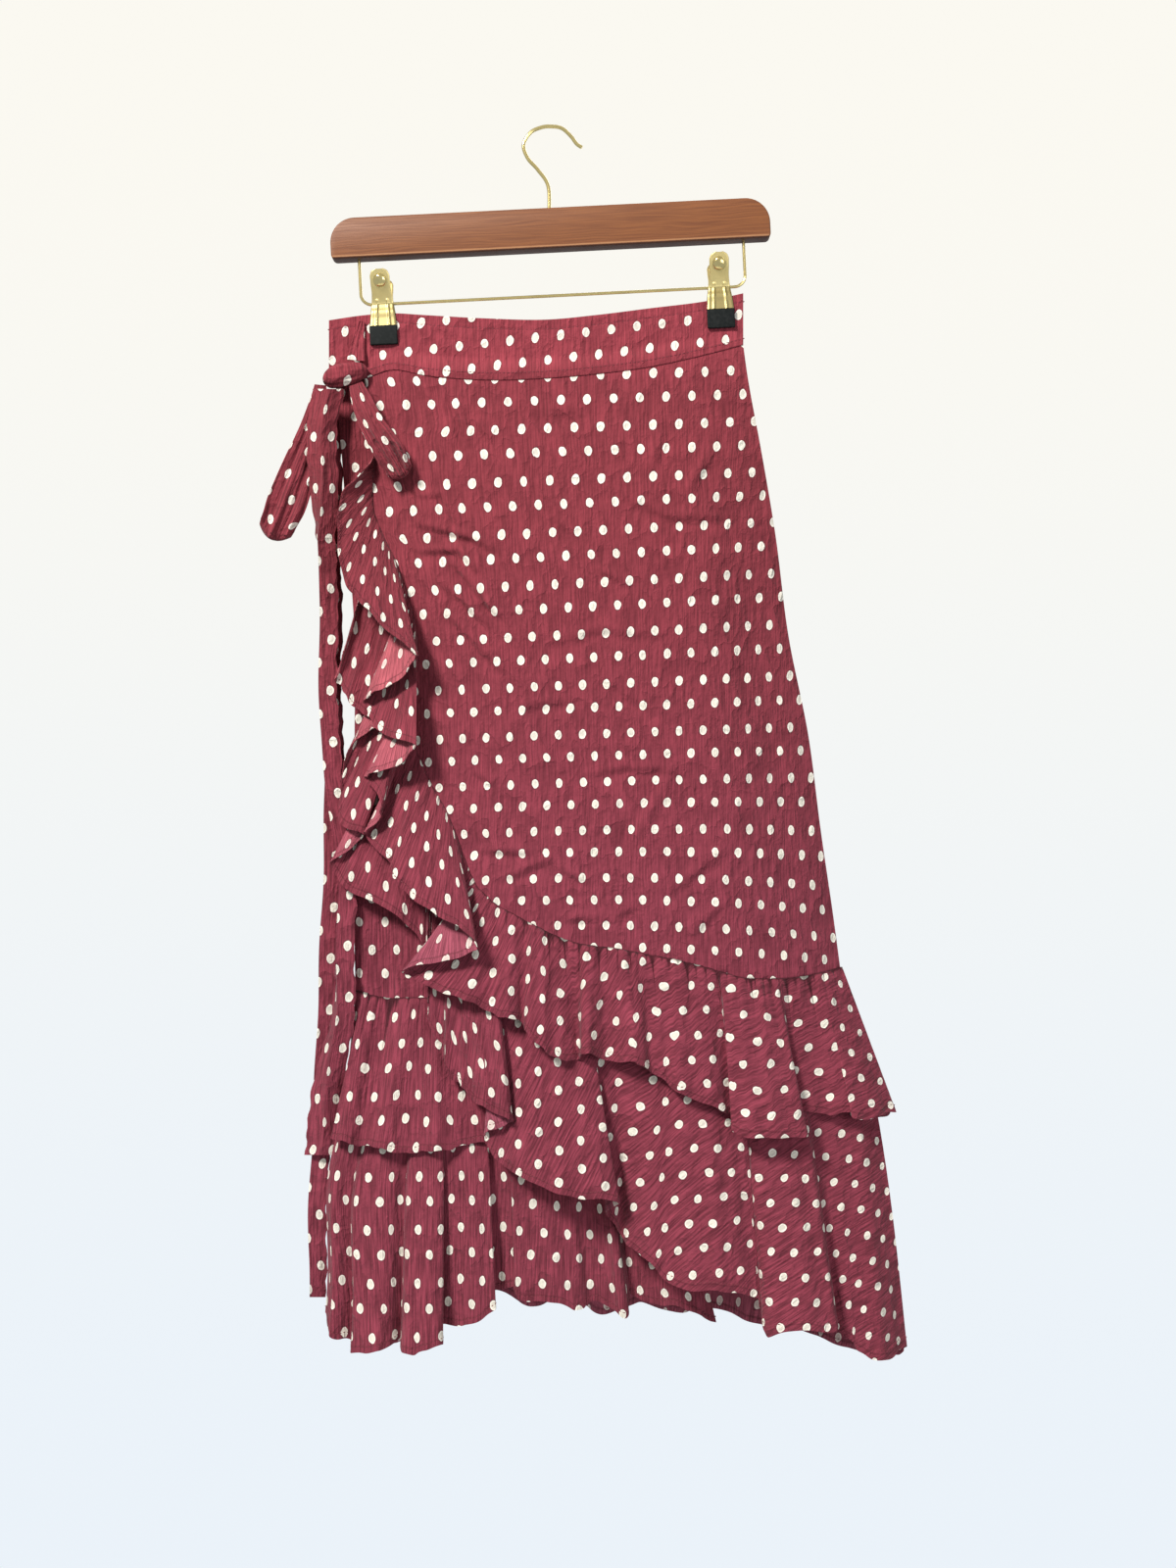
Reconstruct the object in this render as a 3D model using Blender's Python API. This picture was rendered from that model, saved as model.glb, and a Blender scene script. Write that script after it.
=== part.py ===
"""A wrap skirt with two gathered flounces, tied at the side and clipped on a wooden hanger.

Sizes are in millimetres and turned into metres where a mesh is made. +Z is up, the front of the
skirt faces -Y, and the origin is the inside of the hook's top, where a rail or peg carries it.
Tables give x and z as sighted from EYE in the plane of the hanger; `placed` brings them to their
own depth y, because what lies nearer to the eye looks larger than it is.
"""
import math

import bmesh
import bpy
import numpy as np
from mathutils import Matrix, Vector

MM = 0.001
EYE = (30.0, -1250.0, -535.0)

# Cloth and seams
PANEL_WALL = 1.2
FLOUNCE_WALL = 1.0
BAND_WALL = 1.6
RIBBON_WALL = 1.0
SEAM_GAP = 0.3
PANEL_SIDE = PANEL_WALL / 2 + SEAM_GAP / 2
UNDER_GAP = (5.5, 14.0)
FLOUNCE_START = 1.1
FLOUNCE_LAYER = 1.7
SIDE_FADE = 15.0
ROUNDNESS = 3.5
WELT_RISE = 0.6

# Hanger
TILT = math.radians(2.85)
BAR_CENTRE = (-0.4, -83.4)
BAR_LENGTH = 358.0
BAR_HEIGHT = 33.0
BAR_THICKNESS = 13.0
BAR_TOP_RADIUS = 20.0
BAR_BOTTOM_RADIUS = 4.0
BAR_EDGE = 1.4
HOOK_RADIUS = 1.5
RAIL_RADIUS = 1.25
RAIL_HALF = 157.0
RAIL_DROP = 53.4
RAIL_CORNER = 9.0
CLIP_X = (-139.5, 135.2)
CLIP_WALL = 1.0
RIVET_DROP = 37.4
RIVET_RADIUS = 5.6
RIVET_HEIGHT = 2.6
PAD_SIZE = (22.5, 2.8, 15.4)
PAD_TOP = 72.3
PAD_INSIDE = 3.0
BAND_LAYER = BAND_WALL + SEAM_GAP

# Body of the skirt: height, side seams left and right, depth at the side seams, in the middle of
# the front and in the middle of the back.
BODY = (
    # z,   left, right, side, front, back
    (-135, -183, 152.0, 0, -3, 3),
    (-205, -176, 161.0, 0, -10, 7),
    (-262, -171, 171.5, 1, -17, 11),
    (-330, -166, 183.0, 2, -23, 15),
    (-415, -160, 194.0, 3, -27, 19),
    (-495, -160, 210.0, 4, -30, 22),
    (-575, -160.5, 220.5, 4, -33, 24),
    (-640, -160.5, 230.0, 4, -35, 26),
    (-715, -159, 240.0, 4, -36, 27),
)

# Waistband: its top edge and its lower edge, which the panels hang from.
WAIST = (
    # x,    top, bottom
    (-183, -157, -203),
    (-152, -152.5, -204),
    (-130, -151, -197.5),
    (-102, -152.5, -202),
    (-56, -155, -205.5),
    (-1, -156, -204),
    (36, -152.5, -200.8),
    (80, -147, -195),
    (130, -140.5, -184),
    (160, -134, -176),
)
FRONT_BAND_LEFT = -153.0
UNDER_RIGHT = 66.0
CLIP_SPAN = (-125.0, 127.0)

# Curved edge of the overlap panel, from the waistband round to the right side seam. The first
# column is the length along the edge.
OVERLAP_SEAM = (
    # at,   x,    z
    (0, -152, -204.5),
    (36, -146, -239),
    (59, -145, -262),
    (105, -146, -308),
    (160, -126, -359),
    (192, -115, -390),
    (235, -110.5, -432),
    (268, -114.5, -465),
    (304, -112, -501),
    (333, -102, -528),
    (370, -85, -561),
    (407, -72, -595),
    (433, -60, -618.5),
    (448, -50, -630),
    (477, -25.5, -645),
    (503, -2, -657),
    (529, 22, -666),
    (555, 47, -669.5),
    (586, 78, -675),
    (613, 105, -680),
    (645, 136, -688),
    (664, 154, -693.5),
    (687, 177, -695),
    (727, 216, -691),
    (750, 238, -686),
)
CORNER_AT = 433.0

# Hem seams of the under panel and the back panel.
UNDER_SEAM = (
    # at,   x,    z
    (0, -159, -705),
    (12, -147, -708),
    (60, -99, -710.5),
    (140, -19, -711),
    (229, UNDER_RIGHT + 4, -711),
)
BACK_SEAM = (
    # at,   x,    z
    (0, -159, -705),
    (100, -59, -705),
    (200, 41, -700),
    (300, 140, -694),
    (398, 238, -686),
)

# Flounces: a row for each turn of a fold. `at` is where its line of cloth leaves the seam; x, z and
# y are where that line ends at the hem.
OVERLAP_UPPER = (
    # at,   x,    z,   y
    (61, -147, -274, -19),
    (76, -168, -295, -26),
    (92, -175, -331, -26),
    (116, -165, -375, -36),
    (132, -146, -397, -44),
    (152, -112, -428, -55),
    (158, -112, -435, -49),
    (170, -131, -455, -42),
    (178, -149, -463, -34),
    (184, -151, -470, -24),
    (198, -143, -489, -32),
    (215, -113, -503, -55),
    (221, -114, -509, -49),
    (232, -130, -523, -42),
    (247, -149, -527, -34),
    (253, -150, -533, -24),
    (262, -139, -549, -38),
    (281, -140, -564, -36),
    (292, -150, -573, -31),
    (298, -151, -579, -22),
    (316, -133, -597, -36),
    (330, -129, -613, -44),
    (354, -104, -635, -52),
    (376, -72, -655, -58),
    (387, -60, -667, -60),
    (396, -64, -672, -55),
    (411, -88, -680, -50),
    (426, -117, -686, -43),
    (433, -118, -691, -36),
    (440, -98, -701, -41),
    (447, -72, -711, -47),
    (459, -52, -720, -44),
    (469, -35, -727, -52),
    (481, -23, -730, -44),
    (493, -13, -747, -56),
    (505, 5, -758, -52),
    (526, 22, -761, -42),
    (538, 29, -754, -54),
    (555, 47, -762, -42),
    (570, 69, -762, -56),
    (582, 85, -773, -44),
    (611, 110, -789, -50),
    (631, 138, -802, -44),
    (641, 152, -806, -38),
    (650, 150, -820, -52),
    (673, 178, -824, -56),
    (693, 208, -823, -46),
    (699, 203, -804, -28),
    (717, 224, -805, -24),
    (728, 243, -803, -24),
    (735, 248, -808, -26),
    (743, 267, -807, -14),
    (750, 282, -802, 1),
)
OVERLAP_LOWER = (
    # at,   x,    z,   y
    (96, -152, -343, -15),
    (112, -158, -393, -15),
    (130, -174, -444, -12),
    (139, -174, -452, -8),
    (153, -166, -465, -13),
    (166, -153, -478, -18),
    (177, -142, -485, -27),
    (184, -146, -491, -20),
    (194, -167, -510, -12),
    (212, -171, -540, -7),
    (230, -173, -564, -13),
    (247, -155, -576, -25),
    (253, -156, -581, -18),
    (265, -176, -597, -12),
    (271, -178, -605, -6),
    (286, -163, -624, -14),
    (307, -130, -639, -24),
    (333, -106, -667, -25),
    (353, -98, -731, -26),
    (370, -88, -751, -28),
    (385, -84, -773, -29),
    (404, -72, -782, -31),
    (418, -66, -791, -34),
    (430, -52, -801, -41),
    (440, -34, -808, -48),
    (446, -34, -812, -42),
    (455, -52, -819, -36),
    (461, -53, -826, -28),
    (472, -38, -848, -36),
    (491, -9, -863, -50),
    (508, 24, -874, -54),
    (525, 54, -876, -48),
    (537, 46, -886, -32),
    (562, 59, -905, -24),
    (593, 75, -922, -36),
    (611, 103, -945, -44),
    (631, 138, -950, -50),
    (648, 166, -953, -40),
    (656, 172, -964, -38),
    (665, 176, -985, -46),
    (681, 200, -982, -54),
    (697, 234, -981, -44),
    (706, 229, -972, -26),
    (718, 240, -985, -24),
    (729, 254, -1000, -26),
    (740, 275, -1005, -18),
    (750, 290, -994, 3),
)
UNDER_UPPER = (
    # at,  x,    z,   y
    (0, -171, -823, 1),
    (6, -178, -824, -10),
    (14, -166, -829, -17),
    (28, -154, -830, -13),
    (42, -136, -834, -22),
    (54, -114, -836, -17),
    (66, -95, -835, -26),
    (80, -74, -831, -19),
    (98, -50, -828, -22),
    (125, -14, -830, -24),
    (150, 14, -831, -26),
    (175, 40, -830, -20),
    (200, 66, -831, -23),
    (229, 94, -830, -20),
)
UNDER_LOWER = (
    # at,  x,    z,   y
    (0, -184, -967, 3),
    (6, -179, -986, -10),
    (14, -163, -990, -5),
    (20, -161, -999, -20),
    (34, -141, -999, -26),
    (46, -121, -986, -10),
    (52, -121, -999, -26),
    (62, -106, -999, -32),
    (72, -89, -992, -24),
    (77, -92, -978, -8),
    (88, -70, -977, -14),
    (102, -47, -965, -18),
    (108, -50, -950, -3),
    (120, -30, -946, -7),
    (130, -26, -955, -12),
    (148, 3, -959, -14),
    (162, 22, -964, -12),
    (172, 38, -958, -6),
    (186, 62, -970, -14),
    (194, 64, -953, 0),
    (206, 85, -959, -3),
    (218, 110, -964, -8),
    (229, 134, -974, -4),
)
BACK_UPPER = (
    # at,  x,    z,   y
    (0, -171, -823, 7),
    (20, -158, -828, 28),
    (48, -128, -826, 26),
    (75, -98, -831, 46),
    (102, -70, -827, 34),
    (130, -36, -831, 50),
    (160, 0, -826, 36),
    (190, 34, -829, 52),
    (220, 66, -823, 38),
    (250, 100, -826, 52),
    (280, 134, -819, 36),
    (310, 172, -822, 46),
    (340, 208, -814, 28),
    (370, 246, -815, 30),
    (388, 270, -806, 14),
    (398, 282, -802, 7),
)
BACK_LOWER = (
    # at,  x,    z,   y
    (0, -184, -967, 5),
    (16, -176, -985, 22),
    (36, -150, -978, 18),
    (58, -124, -990, 38),
    (80, -100, -966, 22),
    (104, -72, -956, 42),
    (128, -44, -948, 26),
    (152, -14, -962, 46),
    (178, 14, -953, 28),
    (202, 44, -968, 48),
    (228, 74, -958, 28),
    (252, 104, -967, 44),
    (278, 134, -962, 24),
    (304, 170, -977, 40),
    (330, 204, -980, 20),
    (354, 236, -994, 30),
    (376, 262, -1000, 14),
    (390, 282, -1002, 12),
    (398, 290, -994, 5),
)
# How a flounce's depth grows from its seam to its hem: the power of the share of the way down. The
# lower one follows the upper at first, except in the cascade down the overlap's left edge.
UPPER_FLARE = 1.0
LOWER_FLARE = 1.6
# How far the lower flounce stands out sideways at the two side seams.
LEFT_BULGE = 7.0
RIGHT_BULGE = 8.5
CASCADE_FLARES = (0.8, 1.0)
CASCADE_END = (455.0, 500.0)

# Soft folds pressed into the overlap panel: the line each follows, its half width and its rise
# towards the front.
PANEL_FOLDS = (
    # x1,   z1,   x2,  z2,  width, rise
    (-128, -215, -104, -330, 9, 1.6),
    (-96, -300, -40, -470, 12, -1.4),
    (-60, -420, 10, -560, 14, 1.2),
    (150, -300, 196, -640, 16, -2.2),
    (120, -260, 150, -660, 15, 1.6),
    (60, -560, 66, -660, 10, -1.2),
    (-92, -520, -50, -600, 8, -1.4),
)

# Tie: each ribbon is a table of its middle line.
STRAP = (
    # at,  x,    z,   y,  half width
    (0, -154.5, -157.5, -4.0, 2.4),
    (1, -156, -167, -4.4, 4.0),
    (2, -158, -179, -6.6, 5.6),
    (3, -159, -189.4, -10.0, 7.0),
)
KNOT_CENTRE = (-168.0, -11.5, -201.0)
KNOT_SIZE = (36.0, 15.0, 20.0)
KNOT_LEAN = 0.2
LOOPS = {
    "tie_loop_left": (
        # at,   x,    z, front, back, half width
        (0, -188, -209.5, -8, -5, 4.5),
        (1, -189.5, -224, -9, -5, 7.5),
        (2, -195, -248, -10, -5, 11),
        (3, -205, -277, -10, -4.5, 14.5),
        (4, -215.5, -306, -13, -4.5, 16.5),
        (5, -226, -331, -15, -5, 16),
    ),
    "tie_loop_right": (
        # at,   x,    z, front, back, half width
        (0, -159, -208.8, -15, -10, 5.5),
        (1, -154, -223, -22, -15, 8.5),
        (2, -146, -241, -29, -19, 10),
        (3, -132.5, -263, -31, -21, 12.5),
        (4, -121.5, -282, -28, -22, 14),
    ),
}
# A tail hangs folded lengthwise: `turn` is the way its front half lies, from +X towards +Y, and
# `open` the angle between its two halves, both in degrees, 180 being flat.
RIBBON_HALF = 17.0
TAILS = {
    "tie_tail_front": (
        # z,     x,     y, turn, open
        (-212.8, -181, -17, 33, 114),
        (-245, -186, -20.5, 36, 108),
        (-288, -186, -20.5, 34, 104),
        (-318, -184, -14, 25, 86),
        (-352, -181.5, -5, 12, 60),
        (-386, -181.5, -1, 4, 40),
        (-420, -181.5, 0.5, 0, 30),
        (-520, -178.5, 1.5, 0, 30),
        (-600, -172, 1.5, 0, 36),
        (-680, -171, 1.0, 0, 60),
        (-740, -178, 2, 20, 90),
        (-790, -184, 3, 26, 120),
        (-838, -188, 3, 25, 130),
    ),
    "tie_tail_back": (
        # z,     x,     y, turn, open
        (-219, -178, 6, 0, 22),
        (-300, -178, 6.5, 0, 22),
        (-420, -178, 8.5, 0, 22),
        (-560, -177, 10, 0, 22),
        (-700, -182, 14, 0, 24),
        (-800, -187, 15, 0, 40),
        (-880, -193, 9, 0, 50),
        (-954, -193, 4, 0, 62),
    ),
}


def smooth(table, at):
    """The other columns of a table at `at`, on a smooth curve through its rows."""
    rows = np.asarray(sorted(table), float)
    at = np.asarray(at, float)
    knots = rows[:, 0]
    values = rows[:, 1:]
    slopes = np.gradient(values, knots, axis=0)
    row = np.clip(np.searchsorted(knots, at, side="right") - 1, 0, len(knots) - 2)
    span = (knots[row + 1] - knots[row])[..., None]
    t = np.clip((at[..., None] - knots[row][..., None]) / span, 0, 1)
    start = (2 * t**3 - 3 * t**2 + 1) * values[row] + (t**3 - 2 * t**2 + t) * span * slopes[row]
    end = (3 * t**2 - 2 * t**3) * values[row + 1] + (t**3 - t**2) * span * slopes[row + 1]
    return np.moveaxis(start + end, -1, 0)


def eased(t):
    """0 to 1 with a soft start and end."""
    t = np.clip(t, 0, 1)
    return t * t * (3 - 2 * t)


def placed(x, y, z):
    """Points in metres at depth y that are sighted at x and z in the hanger's plane."""
    share = (y - EYE[1]) / -EYE[1]
    across = EYE[0] + (x - EYE[0]) * share
    up = EYE[2] + (z - EYE[2]) * share
    return np.stack(np.broadcast_arrays(across, y, up), axis=-1) * MM


def plain_material(name, colour, roughness, metallic=0.0):
    material = bpy.data.materials.new(name)
    material.use_nodes = True
    shader = material.node_tree.nodes["Principled BSDF"]
    shader.inputs["Base Color"].default_value = (*colour, 1)
    shader.inputs["Roughness"].default_value = roughness
    shader.inputs["Metallic"].default_value = metallic
    material.diffuse_color = (*colour, 1)
    return material


def add_object(name, mesh, material):
    obj = bpy.data.objects.new(name, mesh)
    mesh.materials.append(material)
    bpy.context.collection.objects.link(obj)
    return obj


def unit_normals(grid):
    across = np.gradient(grid, axis=1)
    down = np.gradient(grid, axis=0)
    normals = np.cross(down, across)
    return normals / np.maximum(np.linalg.norm(normals, axis=-1, keepdims=True), 1e-12)


def wall(name, grid, thickness, material, rise=0.0):
    """A closed wall of cloth or plate on a grid of points; `rise` lifts its front points more."""
    rows, columns = grid.shape[:2]
    normals = unit_normals(grid)
    lift = np.broadcast_to(np.asarray(rise, float), (rows, columns))[..., None]
    front = grid + normals * (thickness / 2 + lift) * MM
    back = grid - normals * thickness / 2 * MM
    points = np.concatenate([front.reshape(-1, 3), back.reshape(-1, 3)])
    index = np.arange(rows * columns).reshape(rows, columns)
    shift = rows * columns
    faces = []
    for r in range(rows - 1):
        for c in range(columns - 1):
            a, b, d, e = index[r, c], index[r, c + 1], index[r + 1, c + 1], index[r + 1, c]
            faces += [(a, b, d), (a, d, e)]
            faces += [(a + shift, d + shift, b + shift), (a + shift, e + shift, d + shift)]
    rim = list(index[0]) + list(index[1:, -1]) + list(index[-1, -2::-1]) + list(index[-2:0:-1, 0])
    for here, after in zip(rim, rim[1:] + rim[:1]):
        faces += [(here, here + shift, after + shift), (here, after + shift, after)]
    mesh = bpy.data.meshes.new(name)
    mesh.from_pydata(points.tolist(), [], [[int(i) for i in face] for face in faces])
    face_outwards(mesh)
    mesh.shade_smooth()
    mesh.set_sharp_from_angle(angle=math.radians(50))
    return add_object(name, mesh, material)


def face_outwards(mesh):
    shape = bmesh.new()
    shape.from_mesh(mesh)
    if shape.calc_volume(signed=True) < 0:
        bmesh.ops.reverse_faces(shape, faces=shape.faces)
    shape.to_mesh(mesh)
    shape.free()


# ---------------------------------------------------------------- depth of the skirt's layers


def roundness(x, left, right):
    """How far across the lens-shaped section x lies: 0 at a side seam, 1 in the middle."""
    share = np.clip((x - left) / (right - left), 0, 1)
    return 1 - np.abs(2 * share - 1) ** ROUNDNESS


def fold_relief(x, z):
    total = 0.0
    for x1, z1, x2, z2, width, rise in PANEL_FOLDS:
        run = np.array((x2 - x1, z2 - z1), float)
        length = np.linalg.norm(run)
        along = ((x - x1) * run[0] + (z - z1) * run[1]) / length**2
        off = ((x - x1) * run[1] - (z - z1) * run[0]) / length
        fade = eased((along + 0.15) / 0.35) * eased((1.15 - along) / 0.35)
        total = total + rise * np.exp(-((off / width) ** 2)) * fade
    return total


def front_depth(x, z):
    left, right, side, front, _ = smooth(BODY, z)
    return side - PANEL_SIDE + (front - side) * roundness(x, left, right)


def under_depth(x, z):
    left, right, _, _, _ = smooth(BODY, z)
    gap = UNDER_GAP[0] + (UNDER_GAP[1] - UNDER_GAP[0]) * eased((-z - 300) / 410)
    return front_depth(x, z) + gap * eased((x - left) / (0.07 * (right - left)))


def back_depth(x, z):
    left, right, side, _, back = smooth(BODY, z)
    return side + PANEL_SIDE + (back - side) * roundness(x, left, right)


# ---------------------------------------------------------------- waistband


def band(name, x_from, x_to, columns, clipped, side, swell, panel_depth, material):
    """One layer of the waistband, flat at the clips and flared to the panel at its lower edge.

    `clipped` is its depth under a clip, `side` is -1 for a front layer and 1 for the back one, and
    `swell` is how far it stands out between the clips.
    """
    x = np.linspace(max(x_from, BODY[1][1]), x_to, columns)[None, :]
    x[0, 0] = x_from
    share = np.array([0, 0.3, 0.62, 0.74, 0.84, 0.86, 1.0])[:, None]
    top, bottom = smooth(WAIST, x)
    z = top + (bottom - top) * share
    between = (x - CLIP_SPAN[0]) / (CLIP_SPAN[1] - CLIP_SPAN[0])
    bulge = swell * np.sin(np.pi * np.clip(between, 0, 1)) ** 2
    inwards = eased((x - BODY[0][1]) / 22) * eased((BODY[0][2] + 6 - x) / 10)
    flat = clipped * inwards + side * (BAND_LAYER / 2 * (1 - inwards) + bulge)
    flare = eased((share - 0.64) / 0.22)
    hung = panel_depth(x, bottom) + side * (BAND_WALL - PANEL_WALL) / 2
    y = flat + (hung - flat) * flare
    rise = WELT_RISE * (share > 0.85) * np.ones_like(x) if clipped else 0.0
    grid = placed(x, y, z)
    if side > 0:
        grid = grid[:, ::-1]
    return wall(name, grid, BAND_WALL, material, rise)


def build_waistband(cloth):
    band("waistband_front", FRONT_BAND_LEFT, 157, 22, -BAND_LAYER, -1, 3.0, front_depth, cloth)
    band("waistband_under", -181, UNDER_RIGHT, 18, 0.0, -1, 0.8, under_depth, cloth)
    band("waistband_back", -181, 157, 22, BAND_LAYER, 1, 3.0, back_depth, cloth)


# ---------------------------------------------------------------- panels


def patch(top, right, bottom, left, rows, columns):
    """Points across a four-sided panel from its edges, each a function of a share from 0 to 1."""
    u = np.linspace(0, 1, columns)
    v = np.linspace(0, 1, rows)
    top_edge, bottom_edge = top(u)[:, None], bottom(u)[:, None]
    left_edge, right_edge = left(v)[..., None], right(v)[..., None]
    u, v = u[None, None, :], v[None, :, None]
    ruled = (1 - v) * top_edge + v * bottom_edge + (1 - u) * left_edge + u * right_edge
    corners = (
        (1 - u) * (1 - v) * top_edge[:, :, :1]
        + u * (1 - v) * top_edge[:, :, -1:]
        + (1 - u) * v * bottom_edge[:, :, :1]
        + u * v * bottom_edge[:, :, -1:]
    )
    return ruled - corners


def waist_edge(x_from, x_to):
    def edge(share):
        x = x_from + (x_to - x_from) * share
        return np.stack([x, smooth(WAIST, x)[1] - SEAM_GAP])

    return edge


def side_edge(column, z_from, z_to):
    def edge(share):
        z = z_from + (z_to - z_from) * share
        return np.stack([smooth(BODY, z)[column], z])

    return edge


def seam_edge(table, at_from, at_to):
    def edge(share):
        return np.stack(list(smooth(table, at_from + (at_to - at_from) * share)))

    return edge


def build_panels(cloth):
    waist_left = smooth(BODY, np.array(WAIST[0][2]))[0]
    waist_right = smooth(BODY, np.array(WAIST[-1][2]))[1]
    left_top = smooth(WAIST, waist_left)[1] - SEAM_GAP
    right_top = smooth(WAIST, waist_right)[1] - SEAM_GAP
    x, z = patch(
        waist_edge(OVERLAP_SEAM[0][1], waist_right),
        side_edge(1, right_top, OVERLAP_SEAM[-1][2]),
        seam_edge(OVERLAP_SEAM, CORNER_AT, OVERLAP_SEAM[-1][0]),
        seam_edge(OVERLAP_SEAM, 0, CORNER_AT),
        19,
        22,
    )
    y = front_depth(x, z) - fold_relief(x, z)
    wall("overlap_panel", placed(x, y, z), PANEL_WALL, cloth)

    under_edge = (UNDER_RIGHT, smooth(WAIST, np.array(UNDER_RIGHT))[1] - SEAM_GAP)
    free_edge = np.array(under_edge)[:, None], np.array(UNDER_SEAM[-1][1:])[:, None]
    x, z = patch(
        waist_edge(waist_left, UNDER_RIGHT),
        lambda share: free_edge[0] * (1 - share) + free_edge[1] * share,
        seam_edge(UNDER_SEAM, 0, UNDER_SEAM[-1][0]),
        side_edge(0, left_top, UNDER_SEAM[0][2]),
        10,
        18,
    )
    wall("under_panel", placed(x, under_depth(x, z), z), PANEL_WALL, cloth)

    x, z = patch(
        waist_edge(waist_left, waist_right),
        side_edge(1, right_top, BACK_SEAM[-1][2]),
        seam_edge(BACK_SEAM, 0, BACK_SEAM[-1][0]),
        side_edge(0, left_top, BACK_SEAM[0][2]),
        10,
        22,
    )
    wall("back_panel", placed(x, back_depth(x, z), z)[:, ::-1], PANEL_WALL, cloth)


# ---------------------------------------------------------------- flounces


def flounce(name, seam, folds, panel_depth, layer, side_layer, ends, flares, steps, rows, cloth):
    """A gathered strip from a seam to a folded hem.

    `layer` is how far behind the panel's depth the strip starts, `side_layer` the same at a side
    seam, and `ends` says which of its two ends is at a side seam.
    """
    turns = np.array([fold[0] for fold in folds], float)
    places = np.arange((len(turns) - 1) * steps + 1) / steps
    at = np.interp(places, np.arange(len(turns)), turns)
    numbered = [(number, *fold[1:]) for number, fold in enumerate(folds)]
    hem_x, hem_z, hem_y = smooth(numbered, places)
    seam_x, seam_z = smooth(seam, at)
    run_x = np.gradient(seam_x)
    run_z = np.gradient(seam_z)
    length = np.hypot(run_x, run_z)
    start_y = panel_depth(seam_x, seam_z)
    seam_x = seam_x + FLOUNCE_START * run_z / length
    seam_z = seam_z - FLOUNCE_START * run_x / length
    inwards = np.ones_like(at)
    if ends[0]:
        inwards = inwards * eased((at - at[0]) / SIDE_FADE)
    if ends[1]:
        inwards = inwards * eased((at[-1] - at) / SIDE_FADE)
    start_y = start_y + side_layer + (layer - side_layer) * inwards
    past = (at - CASCADE_END[0]) / (CASCADE_END[1] - CASCADE_END[0])
    flare = flares[0] + (flares[1] - flares[0]) * eased(past)
    v = np.linspace(0, 1, rows)[:, None]
    x = seam_x + (hem_x - seam_x) * v
    z = seam_z + (hem_z - seam_z) * v
    y = start_y + (hem_y - start_y) * v**flare
    if flares[1] == LOWER_FLARE and ends[0]:
        x = x - LEFT_BULGE * np.exp(-(((v - 0.66) / 0.15) ** 2)) * (1 - eased((at - at[0]) / 70))
    if flares[1] == LOWER_FLARE and ends[1]:
        x = x + RIGHT_BULGE * np.sin(np.pi * v**0.8) * (1 - eased((at[-1] - at) / 70))
    return wall(name, placed(x, y, z), FLOUNCE_WALL, cloth)


def build_flounces(cloth):
    upper_side, lower_side = -1.28, 0.07
    flounce("overlap_flounce_upper", OVERLAP_SEAM, OVERLAP_UPPER, front_depth,
            0.0, upper_side, (False, True), (CASCADE_FLARES[0], UPPER_FLARE), 2, 5, cloth)
    flounce("overlap_flounce_lower", OVERLAP_SEAM, OVERLAP_LOWER, front_depth,
            FLOUNCE_LAYER, lower_side, (False, True), (CASCADE_FLARES[1], LOWER_FLARE), 2, 7,
            cloth)
    flounce("under_flounce_upper", UNDER_SEAM, UNDER_UPPER, under_depth,
            0.0, upper_side, (True, False), (UPPER_FLARE,) * 2, 2, 5, cloth)
    flounce("under_flounce_lower", UNDER_SEAM, UNDER_LOWER, under_depth,
            FLOUNCE_LAYER, lower_side, (True, False), (LOWER_FLARE,) * 2, 2, 7, cloth)
    flounce("back_flounce_upper", BACK_SEAM, BACK_UPPER, back_depth,
            0.0, -upper_side, (True, True), (UPPER_FLARE,) * 2, 2, 5, cloth)
    flounce("back_flounce_lower", BACK_SEAM, BACK_LOWER, back_depth,
            -FLOUNCE_LAYER, -lower_side, (True, True), (LOWER_FLARE,) * 2, 2, 7, cloth)


# ---------------------------------------------------------------- tie


def ribbon_grid(middle, across, half, columns):
    """Points of a ribbon from its middle line, the direction across it and its half width."""
    offsets = np.linspace(-1, 1, columns)[None, :, None]
    return middle[:, None, :] + across[:, None, :] * half[:, None, None] * offsets


def across_of(x, z):
    """The direction square to a path in the plane of the front."""
    run = np.stack([np.gradient(x), np.zeros_like(x), np.gradient(z)], axis=-1)
    run /= np.linalg.norm(run, axis=-1, keepdims=True)
    return np.stack([-run[:, 2], run[:, 1], run[:, 0]], axis=-1)


def build_strap(cloth):
    x, z, y, half = smooth(STRAP, np.linspace(0, STRAP[-1][0], 7))
    middle = np.stack([x, y, z], axis=-1)
    grid = ribbon_grid(middle, across_of(x, z), half, 4)
    wall("tie_strap", placed(grid[..., 0], grid[..., 1], grid[..., 2]), RIBBON_WALL, cloth)


def build_knot(cloth):
    shape = bmesh.new()
    bmesh.ops.create_uvsphere(shape, u_segments=14, v_segments=9, radius=0.5)
    for vertex in shape.verts:
        wrap = 1 - 0.10 * math.sin(5 * vertex.co.x + 1)
        vertex.co.x *= KNOT_SIZE[0]
        vertex.co.y *= KNOT_SIZE[1] * wrap
        vertex.co.z = vertex.co.z * KNOT_SIZE[2] * wrap + KNOT_LEAN * vertex.co.x
    mesh = bpy.data.meshes.new("tie_knot")
    shape.to_mesh(mesh)
    shape.free()
    x, y, z = KNOT_CENTRE
    mesh.transform(Matrix.Scale(MM, 4))
    mesh.transform(Matrix.Translation(placed(np.array(x), np.array(y), np.array(z)).tolist()))
    mesh.shade_smooth()
    add_object("tie_knot", mesh, cloth)


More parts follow.
